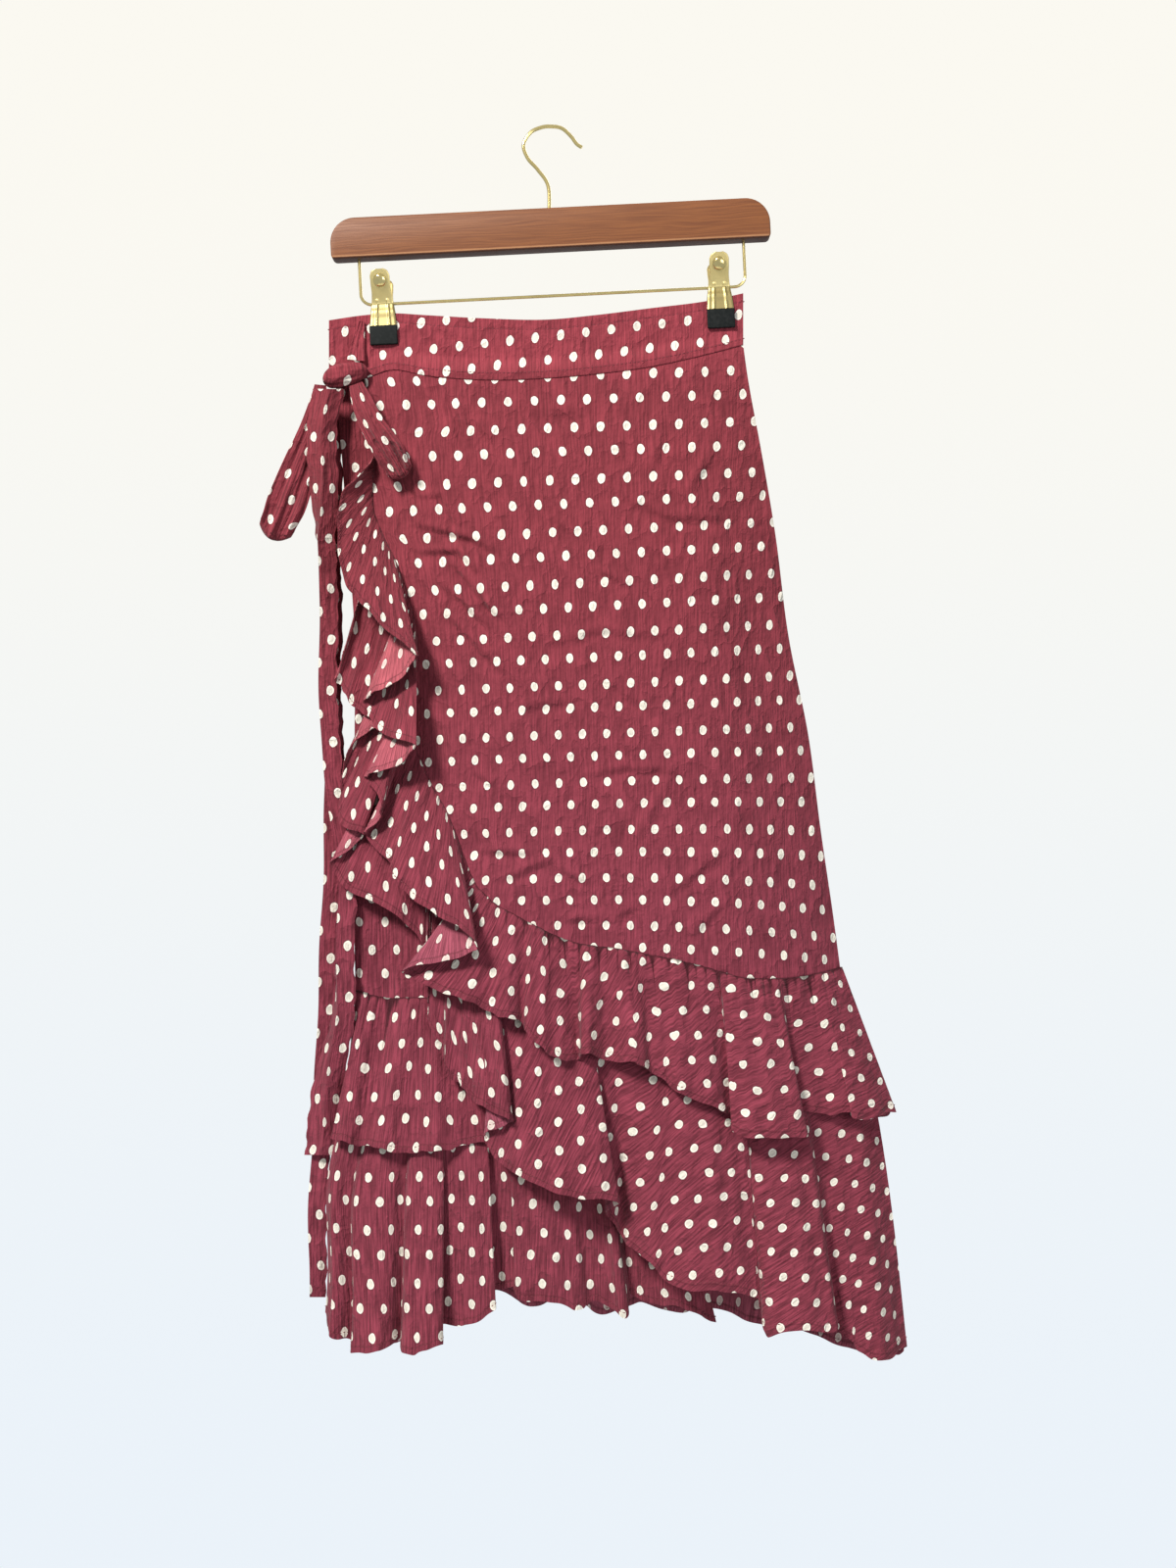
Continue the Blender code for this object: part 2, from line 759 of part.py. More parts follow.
def build_loop(name, table, cloth):
    """A ribbon that runs out from the knot, turns over at its end and comes back behind itself."""
    last = table[-1][0]
    out = np.linspace(0, last, 9)
    turn = np.linspace(0, np.pi, 6)[1:-1]
    x, z, front, back, half = smooth(table, out)
    out_x, out_z = np.gradient(x)[-1], np.gradient(z)[-1]
    reach = (front[-1] - back[-1]) / -2
    heading = np.array([out_x, out_z]) / math.hypot(out_x, out_z)
    turn_x = x[-1] + heading[0] * reach * np.sin(turn)
    turn_z = z[-1] + heading[1] * reach * np.sin(turn)
    turn_y = (front[-1] + back[-1]) / 2 - reach * np.cos(turn)
    across = across_of(x, z)
    middle = np.concatenate([
        np.stack([x, front, z], axis=-1),
        np.stack([turn_x, turn_y, turn_z], axis=-1),
        np.stack([x, back, z], axis=-1)[::-1],
    ])
    across = np.concatenate([across, np.repeat(across[-1:], len(turn), 0), across[::-1]])
    half = np.concatenate([half, np.repeat(half[-1:], len(turn)), half[::-1]])
    grid = ribbon_grid(middle, across, half, 4)
    crown = 1.6 * (1 - np.linspace(-1, 1, 4)[None, :] ** 2)
    grid[..., 1] += np.where(np.arange(len(grid)) < len(out), -1, 0)[:, None] * crown
    wall(name, placed(grid[..., 0], grid[..., 1], grid[..., 2]), RIBBON_WALL, cloth)


def build_tail(name, table, cloth):
    """A hanging ribbon with a fold down its middle."""
    top, bottom = table[0][0], table[-1][0]
    z = top + (bottom - top) * np.linspace(0, 1, 18) ** 1.25
    x, y, turn, spread = smooth(table, z)
    turn, spread = np.radians(turn), np.radians(spread)
    leg = np.linspace(-1, 1, 7)
    reach = RIBBON_HALF * (np.sqrt(leg**2 + 0.02) - math.sqrt(0.02))
    angle = turn[:, None] + np.where(leg > 0, spread[:, None], 0)
    across, deep = reach * np.cos(angle), reach * np.sin(angle)
    across -= (across.max(axis=1, keepdims=True) + across.min(axis=1, keepdims=True)) / 2
    deep -= (deep.max(axis=1, keepdims=True) + deep.min(axis=1, keepdims=True)) / 2
    grid = placed(x[:, None] + across, y[:, None] + deep, z[:, None] + 0 * across)
    wall(name, grid, RIBBON_WALL, cloth)


def build_tie(cloth):
    build_strap(cloth)
    build_knot(cloth)
    for name, table in LOOPS.items():
        build_loop(name, table, cloth)
    for name, table in TAILS.items():
        build_tail(name, table, cloth)


# ---------------------------------------------------------------- hanger


def tilted(x, z):
    """Hanger's own x and z, from the middle of its bar, to the object's."""
    return (
        BAR_CENTRE[0] + x * math.cos(TILT) - z * math.sin(TILT),
        BAR_CENTRE[1] + x * math.sin(TILT) + z * math.cos(TILT),
    )


def corner_arc(x, z, radius, start, steps=6):
    """Points round one corner of the bar, a quarter turn from `start` degrees."""
    angles = np.radians(np.linspace(start, start + 90, steps))
    return [(x + radius * math.cos(a), z + radius * math.sin(a)) for a in angles]


def build_bar(wood):
    half_length, half_height = BAR_LENGTH / 2, BAR_HEIGHT / 2
    top_x, top_z = half_length - BAR_TOP_RADIUS, half_height - BAR_TOP_RADIUS
    low_x, low_z = half_length - BAR_BOTTOM_RADIUS, half_height - BAR_BOTTOM_RADIUS
    outline = (
        corner_arc(top_x, top_z, BAR_TOP_RADIUS, 0)
        + corner_arc(-top_x, top_z, BAR_TOP_RADIUS, 90)
        + corner_arc(-low_x, -low_z, BAR_BOTTOM_RADIUS, 180, 3)
        + corner_arc(low_x, -low_z, BAR_BOTTOM_RADIUS, 270, 3)
    )
    shape = bmesh.new()
    ring = []
    for x, z in outline:
        px, pz = tilted(x, z)
        ring.append(shape.verts.new((px * MM, -BAR_THICKNESS / 2 * MM, pz * MM)))
    face = shape.faces.new(ring)
    grown = bmesh.ops.extrude_face_region(shape, geom=[face])["geom"]
    moved = [item for item in grown if isinstance(item, bmesh.types.BMVert)]
    bmesh.ops.translate(shape, verts=moved, vec=(0, BAR_THICKNESS * MM, 0))
    bmesh.ops.recalc_face_normals(shape, faces=shape.faces)
    mesh = bpy.data.meshes.new("hanger_bar")
    shape.to_mesh(mesh)
    shape.free()
    bar = add_object("hanger_bar", mesh, wood)
    edge = bar.modifiers.new("eased edge", "BEVEL")
    edge.width = BAR_EDGE * MM
    edge.segments = 2
    edge.limit_method = "ANGLE"
    edge.angle_limit = math.radians(60)


def wire(name, points, radius, brass):
    """A bent wire of round section through points given as x, y and z."""
    curve = bpy.data.curves.new(name, "CURVE")
    curve.dimensions = "3D"
    curve.bevel_depth = radius * MM
    curve.bevel_resolution = 2
    curve.use_fill_caps = True
    spline = curve.splines.new("POLY")
    spline.points.add(len(points) - 1)
    for place, (x, y, z) in zip(spline.points, points):
        place.co = (x * MM, y * MM, z * MM, 1)
    return add_object(name, curve, brass)


def hook_points():
    """Stem, neck bend and round hook, as a smooth curve through a few places."""
    foot = tilted(0, BAR_HEIGHT / 2 + SEAM_GAP)
    bends = (
        # at, x,    z
        (0, foot[0], foot[1]),
        (1, -2.2, -47),
        (2, -10.5, -34),
        (3, -18.8, -24.5),
        (4, -22.2, -13.5),
        (5, -16.5, -3.6),
        (6, -8, 0.6),
        (7, 0, 1.5),
        (8, 9, 0),
        (9, 16.5, -6.6),
        (10, 21, -12.6),
        (11, 25.5, -15.8),
    )
    x, z = smooth(bends, np.linspace(0, 11, 30))
    return [(a, 0.0, b) for a, b in zip(x, z)]


def rail_points():
    """Legs, round corners and the straight run that the clips ride on."""
    top = -BAR_HEIGHT / 2 - SEAM_GAP
    centre = RAIL_HALF - RAIL_CORNER
    low = RAIL_CORNER - RAIL_DROP
    left = corner_arc(-centre, low, RAIL_CORNER, 180, 7)
    right = corner_arc(centre, low, RAIL_CORNER, 270, 7)
    path = [(-RAIL_HALF, top)] + left + right + [(RAIL_HALF, top)]
    return [(*tilted(x, z)[:1], 0.0, tilted(x, z)[1]) for x, z in path]


CLIP_PLATE = (
    # drop, half width, half spread between the two plates
    (29.2, 2.6, 14.6),
    (30.1, 5.0, 14.2),
    (32.4, 7.0, 13.2),
    (37.4, 7.6, 11.0),
    (46.0, 7.6, 6.0),
    (50.2, 8.1, 3.4),
    (53.4, 8.6, 2.05),
    (57.0, 9.0, 2.5),
    (60.0, 9.4, 3.6),
    (66.0, 10.0, 3.9),
    (72.0, 10.6, 4.4),
)


def clip_plate(name, clip_x, side, brass):
    """One spring plate of a clip, spread at its finger end and pinched at its pad."""
    rows = np.array(CLIP_PLATE)
    offsets = np.linspace(-1, 1, 5)[None, :]
    drop = rows[:, :1] + 0 * offsets
    x = clip_x + rows[:, 1:2] * offsets
    y = side * rows[:, 2:3] + 0 * offsets
    place_x = BAR_CENTRE[0] + x * math.cos(TILT) + drop * math.sin(TILT)
    place_z = BAR_CENTRE[1] + x * math.sin(TILT) - drop * math.cos(TILT)
    grid = np.stack([place_x, y, place_z], axis=-1) * MM
    wall(name, grid, CLIP_WALL, brass)


def rivet(name, clip_x, side, brass):
    """A domed rivet head, seated on its plate."""
    shape = bmesh.new()
    rings = 4
    profile = [(RIVET_RADIUS * math.cos(a), RIVET_HEIGHT * math.sin(a))
               for a in np.linspace(0, math.pi / 2, rings + 1)[:-1]]
    circles = []
    for radius, height in profile:
        circle = []
        for step in range(14):
            angle = 2 * math.pi * step / 14
            circle.append(shape.verts.new((radius * math.cos(angle), -height, radius * math.sin(angle))))
        circles.append(circle)
    crown = shape.verts.new((0, -RIVET_HEIGHT, 0))
    for inner, outer in zip(circles[1:], circles[:-1]):
        for step in range(14):
            after = (step + 1) % 14
            shape.faces.new((outer[step], outer[after], inner[after], inner[step]))
    for step in range(14):
        shape.faces.new((circles[-1][step], circles[-1][(step + 1) % 14], crown))
    shape.faces.new(circles[0][::-1])
    bmesh.ops.recalc_face_normals(shape, faces=shape.faces)
    mesh = bpy.data.meshes.new(name)
    shape.to_mesh(mesh)
    shape.free()
    (_, _, high), (_, _, low) = CLIP_PLATE[2], CLIP_PLATE[4]
    lean = math.atan2(high - low, CLIP_PLATE[4][0] - CLIP_PLATE[2][0])
    seat = CLIP_WALL / 2 + SEAM_GAP
    spread = CLIP_PLATE[3][2]
    out = Vector((0, -math.cos(lean), -math.sin(lean)))
    x, z = tilted(clip_x, -RIVET_DROP)
    place = Vector((x, -spread, z)) + out * seat
    turn = Matrix.Rotation(-TILT, 4, "Y") @ Matrix.Rotation(lean, 4, "X")
    mesh.transform(Matrix.Translation(place) @ turn)
    if side > 0:
        mesh.transform(Matrix.Scale(-1, 4, (0, 1, 0)))
        mesh.flip_normals()
    mesh.transform(Matrix.Scale(MM, 4))
    mesh.shade_smooth()
    mesh.set_sharp_from_angle(angle=math.radians(60))
    add_object(name, mesh, brass)


def pad(name, clip_x, side, rubber):
    """A rubber pad, a block with eased edges that grips the waistband."""
    width, depth, height = PAD_SIZE
    shape = bmesh.new()
    bmesh.ops.create_cube(shape, size=1.0, matrix=Matrix.Diagonal((width, depth, height, 1)))
    bmesh.ops.bevel(shape, geom=list(shape.edges), offset=0.9, segments=2, affect="EDGES")
    mesh = bpy.data.meshes.new(name)
    shape.to_mesh(mesh)
    shape.free()
    x, z = tilted(clip_x, -PAD_TOP - height / 2)
    y = side * (PAD_INSIDE + depth / 2)
    mesh.transform(Matrix.Translation((x, y, z)) @ Matrix.Rotation(-TILT, 4, "Y"))
    mesh.transform(Matrix.Scale(MM, 4))
    mesh.shade_smooth()
    mesh.set_sharp_from_angle(angle=math.radians(50))
    add_object(name, mesh, rubber)


def build_hanger(wood, brass, rubber):
    build_bar(wood)
    wire("hanger_hook", hook_points(), HOOK_RADIUS, brass)
    wire("hanger_rail", rail_points(), RAIL_RADIUS, brass)
    for place, clip_x in zip(("left", "right"), CLIP_X):
        for face, side in (("front", -1), ("back", 1)):
            clip_plate(f"clip_{place}_plate_{face}", clip_x, side, brass)
            rivet(f"clip_{place}_rivet_{face}", clip_x, side, brass)
            pad(f"clip_{place}_pad_{face}", clip_x, side, rubber)


def main():
    for obj in list(bpy.data.objects):
        bpy.data.objects.remove(obj)
    cloth = plain_material("burgundy cloth", (0.27, 0.035, 0.055), 0.85)
    wood = plain_material("stained wood", (0.25, 0.075, 0.03), 0.45)
    brass = plain_material("pale brass", (0.60, 0.45, 0.15), 0.25, 1.0)
    rubber = plain_material("black rubber", (0.01, 0.015, 0.014), 0.6)
    build_waistband(cloth)
    build_panels(cloth)
    build_flounces(cloth)
    build_tie(cloth)
    build_hanger(wood, brass, rubber)


main()
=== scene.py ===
import math

import bmesh
import bpy
import numpy as np
from mathutils import Matrix, Vector


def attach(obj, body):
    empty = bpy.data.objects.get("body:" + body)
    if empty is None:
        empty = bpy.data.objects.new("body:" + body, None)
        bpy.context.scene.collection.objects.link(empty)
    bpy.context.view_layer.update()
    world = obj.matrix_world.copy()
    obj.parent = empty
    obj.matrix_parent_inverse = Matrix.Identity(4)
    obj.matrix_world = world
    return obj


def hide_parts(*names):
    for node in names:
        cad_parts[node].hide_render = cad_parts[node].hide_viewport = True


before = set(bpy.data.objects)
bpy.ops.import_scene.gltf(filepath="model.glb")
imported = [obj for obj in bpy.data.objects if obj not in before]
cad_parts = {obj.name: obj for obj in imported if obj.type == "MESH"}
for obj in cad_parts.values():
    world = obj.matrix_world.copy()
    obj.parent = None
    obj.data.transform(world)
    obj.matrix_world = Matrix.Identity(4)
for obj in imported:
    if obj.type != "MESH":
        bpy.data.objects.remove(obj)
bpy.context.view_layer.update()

# ---------------------------------------------------------------- back panel
# The back of the skirt is one flared piece of crinkled cotton voile, burgundy with a cream dot
# print. It is sewn into the waistband above, into the side seams, and to two flounces below.
MM = 0.001

# Tables are in millimetres: x and z as sighted from EYE in the hanger's plane, y the true depth.
EYE = (30.0, -1250.0, -535.0)
PANEL_WALL = 1.2
SEAM_GAP = 0.3
PANEL_SIDE = PANEL_WALL / 2 + SEAM_GAP / 2
ROUNDNESS = 3.5
VOILE = 0.5
TUCK = 2.0
HEM = 5.0
FAR = 0.1
DOT_PITCH = 21.4
DOT_ROWS = 41.9
DOT_OFFSET = 22.6
DOT_HALF = (3.05, 4.0)

# How fine the voile's crinkle, slubs, soft crumples and uneven print are, across and down.
CRINKLE = (0.75, 0.035)
SLUB = (1.9, 1.3)
CRUMPLE = (0.05, 0.036)
DRIFT = (0.11, 0.09)
# How far, in mm, the print drifts across and down, and how much further across in the crinkle.
DRIFT_BY = (2.6, -2.2)
DRIFT_IN_CRINKLE = 0.9
# The heights, in m, between which painted shade turns the cloth purplish downwards, and between which
# painted light turns it brighter upwards, towards the waistband, with its tone at each.
PAINTED_LOW_SHADE = (-0.25, -0.75)
PAINTED_BAND_LIGHT = (-0.215, -0.185, 1.0, 1.22)
# How much darker the cloth is at a dot's outline.
PRINT_EDGE_DARKER = 0.30

BODY = (
    # z,   left, right, side, front, back
    (-135, -183, 152.0, 0, -3, 3),
    (-205, -176, 161.0, 0, -10, 7),
    (-262, -171, 171.5, 1, -17, 11),
    (-330, -166, 183.0, 2, -23, 15),
    (-415, -160, 194.0, 3, -27, 19),
    (-495, -160, 210.0, 4, -30, 22),
    (-575, -160.5, 220.5, 4, -33, 24),
    (-640, -160.5, 230.0, 4, -35, 26),
    (-715, -159, 240.0, 4, -36, 27),
)
WAIST = (
    # x,    top, bottom
    (-183, -157, -203),
    (-152, -152.5, -204),
    (-130, -151, -197.5),
    (-102, -152.5, -202),
    (-56, -155, -205.5),
    (-1, -156, -204),
    (36, -152.5, -200.8),
    (80, -147, -195),
    (130, -140.5, -184),
    (160, -134, -176),
)
BACK_SEAM = (
    # at,   x,    z
    (0, -159, -705), (100, -59, -705), (200, 41, -700), (300, 140, -694),
    (398, 238, -686),
)


def smooth(table, at):
    """The other columns of a table at `at`, on a smooth curve through its rows."""
    rows = np.asarray(sorted(table), float)
    at = np.asarray(at, float)
    knots = rows[:, 0]
    values = rows[:, 1:]
    slopes = np.gradient(values, knots, axis=0)
    row = np.clip(np.searchsorted(knots, at, side="right") - 1, 0, len(knots) - 2)
    span = (knots[row + 1] - knots[row])[..., None]
    t = np.clip((at[..., None] - knots[row][..., None]) / span, 0, 1)
    start = (2 * t**3 - 3 * t**2 + 1) * values[row] + (t**3 - 2 * t**2 + t) * span * slopes[row]
    end = (3 * t**2 - 2 * t**3) * values[row + 1] + (t**3 - t**2) * span * slopes[row + 1]
    return np.moveaxis(start + end, -1, 0)


def eased(t):
    """0 to 1 with a soft start and end."""
    t = np.clip(t, 0, 1)
    return t * t * (3 - 2 * t)


def placed(x, y, z):
    """Points in metres at depth y that are sighted at x and z in the hanger's plane."""
    share = (y - EYE[1]) / -EYE[1]
    across = EYE[0] + (x - EYE[0]) * share
    up = EYE[2] + (z - EYE[2]) * share
    return np.stack(np.broadcast_arrays(across, y, up), axis=-1) * MM


def roundness(x, left, right):
    """How far across the lens-shaped section x lies: 0 at a side seam, 1 in the middle."""
    share = np.clip((x - left) / (right - left), 0, 1)
    return 1 - np.abs(2 * share - 1) ** ROUNDNESS


def back_depth(x, z):
    """How far back the back panel is."""
    left, right, side, _, back = smooth(BODY, z)
    return side + PANEL_SIDE + (back - side) * roundness(x, left, right)


def patch(top, right, bottom, left, rows, columns):
    """Points across a four-sided panel from its edges, each a function of a share from 0 to 1."""
    u = np.linspace(0, 1, columns)
    v = np.linspace(0, 1, rows)
    top_edge, bottom_edge = top(u)[:, None], bottom(u)[:, None]
    left_edge, right_edge = left(v)[..., None], right(v)[..., None]
    u, v = u[None, None, :], v[None, :, None]
    ruled = (1 - v) * top_edge + v * bottom_edge + (1 - u) * left_edge + u * right_edge
    corners = (
        (1 - u) * (1 - v) * top_edge[:, :, :1]
        + u * (1 - v) * top_edge[:, :, -1:]
        + (1 - u) * v * bottom_edge[:, :, :1]
        + u * v * bottom_edge[:, :, -1:]
    )
    return ruled - corners


def waist_edge(x_from, x_to):
    """The waist's edge between two places, by a share from 0 to 1."""
    def edge(share):
        x = x_from + (x_to - x_from) * share
        return np.stack([x, smooth(WAIST, x)[1] + TUCK])

    return edge


def side_edge(column, z_from, z_to):
    """The left or right side seam between two heights, by a share from 0 to 1."""
    def edge(share):
        z = z_from + (z_to - z_from) * share
        return np.stack([smooth(BODY, z)[column], z])

    return edge


def seam_edge(table, at_from, at_to):
    """A stretch of a lower seam, by a share from 0 to 1."""
    def edge(share):
        return np.stack(list(smooth(table, at_from + (at_to - at_from) * share)))

    return edge


class Signal:
    """A shader node's output. Arithmetic on it adds Math nodes."""

    def __init__(self, tree, socket):
        self.tree, self.socket = tree, socket

    def through(self, operation, *values):
        """The result of a Math operation on this and other values."""
        return wired(self.tree, "ShaderNodeMath", enumerate((self, *values)), operation=operation)

    def __add__(self, value):
        return self.through("ADD", value)

    def __sub__(self, value):
        return self.through("SUBTRACT", value)

    def __mul__(self, value):
        return self.through("MULTIPLY", value)

    def stepped(self, low, high, start=0.0, end=1.0):
        """A soft step from `start` at `low` to `end` at `high`."""
        return wired(self.tree, "ShaderNodeMapRange", enumerate((self, low, high, start, end)),
                     interpolation_type="SMOOTHSTEP")

    def parts(self):
        """A vector's x, y and z."""
        split = self.tree.nodes.new("ShaderNodeSeparateXYZ")
        feed(split, {0: self})
        return [Signal(self.tree, socket) for socket in split.outputs]


def feed(node, inputs):
    """Gives a node's inputs, by name or number, their numbers, colours or signals."""
    for socket, value in dict(inputs).items():
        if isinstance(value, Signal):
            value.tree.links.new(value.socket, node.inputs[socket])
        else:
            node.inputs[socket].default_value = (*value, 1) if isinstance(value, tuple) else value


def wired(tree, kind, inputs=(), output=0, **settings):
    """The output of a new node."""
    node = tree.nodes.new(kind)
    for setting, value in settings.items():
        setattr(node, setting, value)
    feed(node, inputs)
    return Signal(tree, node.outputs[output])


def lengths_of(tree, layer):
    """The two lengths in a UV map."""
    return wired(tree, "ShaderNodeUVMap", uv_map=layer).parts()[:2]


def blended(share, first, second):
    """Two colours mixed, each a colour or a signal."""
    return wired(share.tree, "ShaderNodeMix", {0: share, 6: first, 7: second}, 2, data_type="RGBA")


def toned(colour, tone):
    """A colour made lighter or darker."""
    return wired(colour.tree, "ShaderNodeVectorMath", {0: colour, "Scale": tone}, operation="SCALE")


def noise(place, scale, detail=2.0):
    """Noise, from 0 to 1, at a place."""
    return wired(place.tree, "ShaderNodeTexNoise", {"Vector": place, "Scale": scale, "Detail": detail},
                 "Fac")


def mottled(across, down, fineness, detail=2.0):
    """Noise, from 0 to 1, over two lengths, with how fine it is along each."""
    place = {0: across * fineness[0], 1: down * fineness[1]}
    return noise(wired(across.tree, "ShaderNodeCombineXYZ", place), 1.0, detail)


def raised(shader, height, distance):
    """Surface relief from a height, `distance` metres deep."""
    feed(shader, {"Normal": wired(height.tree, "ShaderNodeBump",
                                  {"Distance": distance, "Height": height})})


def surface(name, looks=()):
    """A new material, with its tree and its shader."""
    material = bpy.data.materials.new(name)
    material.use_nodes = True
    shader = material.node_tree.nodes["Principled BSDF"]
    feed(shader, looks)
    return material, material.node_tree, shader


def in_object(tree):
    """The place on the object itself, in metres."""
    return wired(tree, "ShaderNodeTexCoord", output="Object")


def dotted_voile(name, ground, shaded, dot_middle, dot_edge, crumple, crinkled):
    """Crinkled voile with its printed dot, on the cloth's own lengths, with light and shade painted
    in.
    """
    material, tree, shader = surface(name, {
        "Roughness": 0.88, "Specular IOR Level": 0.15, "Sheen Weight": 0.10, "Sheen Roughness": 0.45})
    u, v = (length * (1 / MM) for length in lengths_of(tree, "cloth"))
    from_hem, from_seam = lengths_of(tree, "edges")

    # Crinkle along the warp, the weave, and soft crumples.
    crinkle = mottled(u, v, CRINKLE, 3.0)
    slub = mottled(u, v, SLUB)
    soft = mottled(u, v, CRUMPLE, 4.0)
    ridge = (soft - 0.5).through("ABSOLUTE").through("POWER", 0.7)
    deepest = soft.stepped(0.38, 0.62, 0.30, 0.85) * crinkled
    height = crinkle.through("MULTIPLY_ADD", deepest, slub * 0.08)
    raised(shader, ridge.through("MULTIPLY_ADD", -crumple, height), MM)

    # The print: two staggered lots of dots, slightly out of true.
    drift = mottled(u, v, DRIFT) - 0.5
    print_u = drift.through("MULTIPLY_ADD", DRIFT_BY[0], u)
    print_u = (crinkle - 0.5).through("MULTIPLY_ADD", DRIFT_IN_CRINKLE, print_u)
    print_v = drift.through("MULTIPLY_ADD", DRIFT_BY[1], v)

    def off_middle(length, move, period, half):
        """How far a length is from the middle of the nearest dot, in halves of a dot, squared."""
        wrapped = (length + move).through("WRAP", period / 2, -period / 2)
        return wrapped.through("DIVIDE", half).through("POWER", 2.0)

    def from_dot(across, down):
        """The distance from the nearest dot of one lot, 1 at its outline."""
        return (off_middle(print_u, across, DOT_PITCH, DOT_HALF[0])
                + off_middle(print_v, down, DOT_ROWS, DOT_HALF[1])).through("SQRT")

    nearest = from_dot(0.0, 0.0).through("MINIMUM", from_dot(DOT_PITCH / 2, DOT_OFFSET))

    # Colour: painted light and shade, warmer and lit high up and purplish painted shade low down,
    # painted shade in the crinkle's hollows, along the seam and in the furrows of the gathers; darker
    # at the print's edge and along the hem's stitches.
    up = in_object(tree).parts()[2]
    # Painted shade: purplish low down, below the lit ground high up.
    base = blended(up.stepped(*PAINTED_LOW_SHADE), ground, shaded)
    # Painted light: brighter towards the waistband.
    tone = soft.stepped(0.3, 0.7, 0.89, 1.09) * up.stepped(*PAINTED_BAND_LIGHT)
    # Painted shade: darker in the crinkle's hollows.
    tone = tone * crinkle.stepped(0.3, 0.7, 1 - 0.30 * crinkled, 1 + 0.20 * crinkled)
    tone = tone * (nearest.stepped(1.02, 1.38, 1.0, 0.0) * -PRINT_EDGE_DARKER + 1.0)
    stitched = (from_hem - HEM * MM).through("ABSOLUTE").stepped(0.0003, 0.0010, 0.72, 1.0)
    doubled = from_hem.stepped(0.0046, 0.0054, 0.92, 1.0)
    # Painted shade along the seam, and in the furrows of the gathers, whose seam distance is
    # shortened.
    painted_seam_shade = from_seam.stepped(0.0006, 0.0030, 0.26, 1.0)
    tone = tone * (stitched * doubled) * painted_seam_shade
    dot = blended(nearest.stepped(0.55, 0.95), dot_middle, dot_edge)
    # The dots take the same painted shade, in the crinkle's hollows and along the seam and furrows.
    dot_tone = crinkle.stepped(0.3, 0.7, 0.90, 1.04) * painted_seam_shade
    inside = nearest.stepped(0.93, 1.07, 1.0, 0.0)
    feed(shader, {"Base Color": blended(inside, toned(base, tone), toned(dot, dot_tone))})
    return material


# The ground high up, with painted warm light, and low down, with purplish painted shade, the middle
# and the edge of a dot, and how deep the crumples are.
RIGHT = ((0.216, 0.0335, 0.046), (0.223, 0.0385, 0.062), (0.74, 0.70, 0.61), (0.93, 0.89, 0.80), 4.5)
WRONG = ((0.50, 0.115, 0.135), (0.31, 0.070, 0.108), (0.66, 0.54, 0.50), (0.85, 0.74, 0.68), 3.5)
smooth_cloth, crinkled_cloth = (
    [dotted_voile(f"{name}, {side} side", *look, crinkled)
     for side, look in (("right", RIGHT), ("wrong", WRONG))]
    for name, crinkled in (("voile", 1.0), ("crinkled voile", 1.5))
)


def unit_normals(grid):
    """The directions square to a grid of points, towards its right side."""
    across = np.gradient(grid, axis=1)
    down = np.gradient(grid, axis=0)
    normals = np.cross(down, across)
    return normals / np.maximum(np.linalg.norm(normals, axis=-1, keepdims=True), 1e-12)


def shell(grid, thickness):
    """Points before and behind a grid, and faces for its front, its back and its rim, in turn."""
    half = np.broadcast_to(np.asarray(thickness, float), grid.shape[:2])[..., None] / 2 * MM
    away = unit_normals(grid) * half
    index = np.arange(half.size).reshape(grid.shape[:2])
    a, b, d, e = index[:-1, :-1], index[:-1, 1:], index[1:, 1:], index[1:, :-1]
    face = np.stack([a, e, d, b], axis=-1).reshape(-1, 4)
    lining = np.stack([a, b, d, e], axis=-1).reshape(-1, 4) + index.size
    rim = np.concatenate([index[0], index[1:, -1], index[-1, -2::-1], index[-2:0:-1, 0]])
    after = np.roll(rim, -1)
    edge = np.stack([rim, after, after + index.size, rim + index.size], axis=-1)
    return grid + away, grid - away, np.concatenate([face, lining, edge])


def added(name, data):
    """A new object in the scene."""
    thing = bpy.data.objects.new(name, data)
    bpy.context.collection.objects.link(thing)
    return thing


def rounded_off(mesh, crease):
    """Smooth shading up to an angle in degrees."""
    mesh.shade_smooth()
    mesh.set_sharp_from_angle(angle=math.radians(crease))


def sewn_cloth(name, grid, thickness, u, v, hem=FAR, seam=FAR, cloth=smooth_cloth):
    """A closed thin piece on a grid of points, with its lengths and how far hem and seam are."""
    front, back, faces = shell(grid, thickness)
    mesh = bpy.data.meshes.new(name)
    mesh.from_pydata(np.concatenate([front, back]).reshape(-1, 3).tolist(), [], faces.tolist())
    corners = np.empty(len(mesh.loops), int)
    mesh.loops.foreach_get("vertex_index", corners)
    for layer, across, down in (("cloth", u, v), ("edges", hem, seam)):
        lengths = np.stack(np.broadcast_arrays(across, down, grid[..., 0])[:2], axis=-1).reshape(-1, 2)
        lengths = lengths[corners % len(lengths)]
        mesh.uv_layers.new(name=layer).data.foreach_set("uv", lengths.reshape(-1))
    side = np.zeros(len(faces), int)
    of_a_side = (grid.shape[0] - 1) * (grid.shape[1] - 1)
    side[of_a_side:2 * of_a_side] = 1
    mesh.polygons.foreach_set("material_index", side)
    for material in cloth:
        mesh.materials.append(material)
    rounded_off(mesh, 60)
    return added(name, mesh), front, back


def panel_lengths(grid, x, z, slope):
    """The print's lengths over a panel: along each row from the middle, and down from the waist."""
    step = np.linalg.norm(np.diff(grid[..., :2], axis=1), axis=-1)
    along = np.concatenate([np.zeros((len(grid), 1)), np.cumsum(step, axis=1)], axis=1)
    middle = np.array([np.interp(0.0, row_x, row) for row_x, row in zip(x, along)])
    lean = slope * eased((z + 620) / 400)
    return along - middle[:, None], (-z + lean * x) * MM


def own(piece):
    """Fixes a piece to the skirt, in place of the solid that shares its name."""
    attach(piece, "root")
    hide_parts(piece.name.replace("-", "_"))


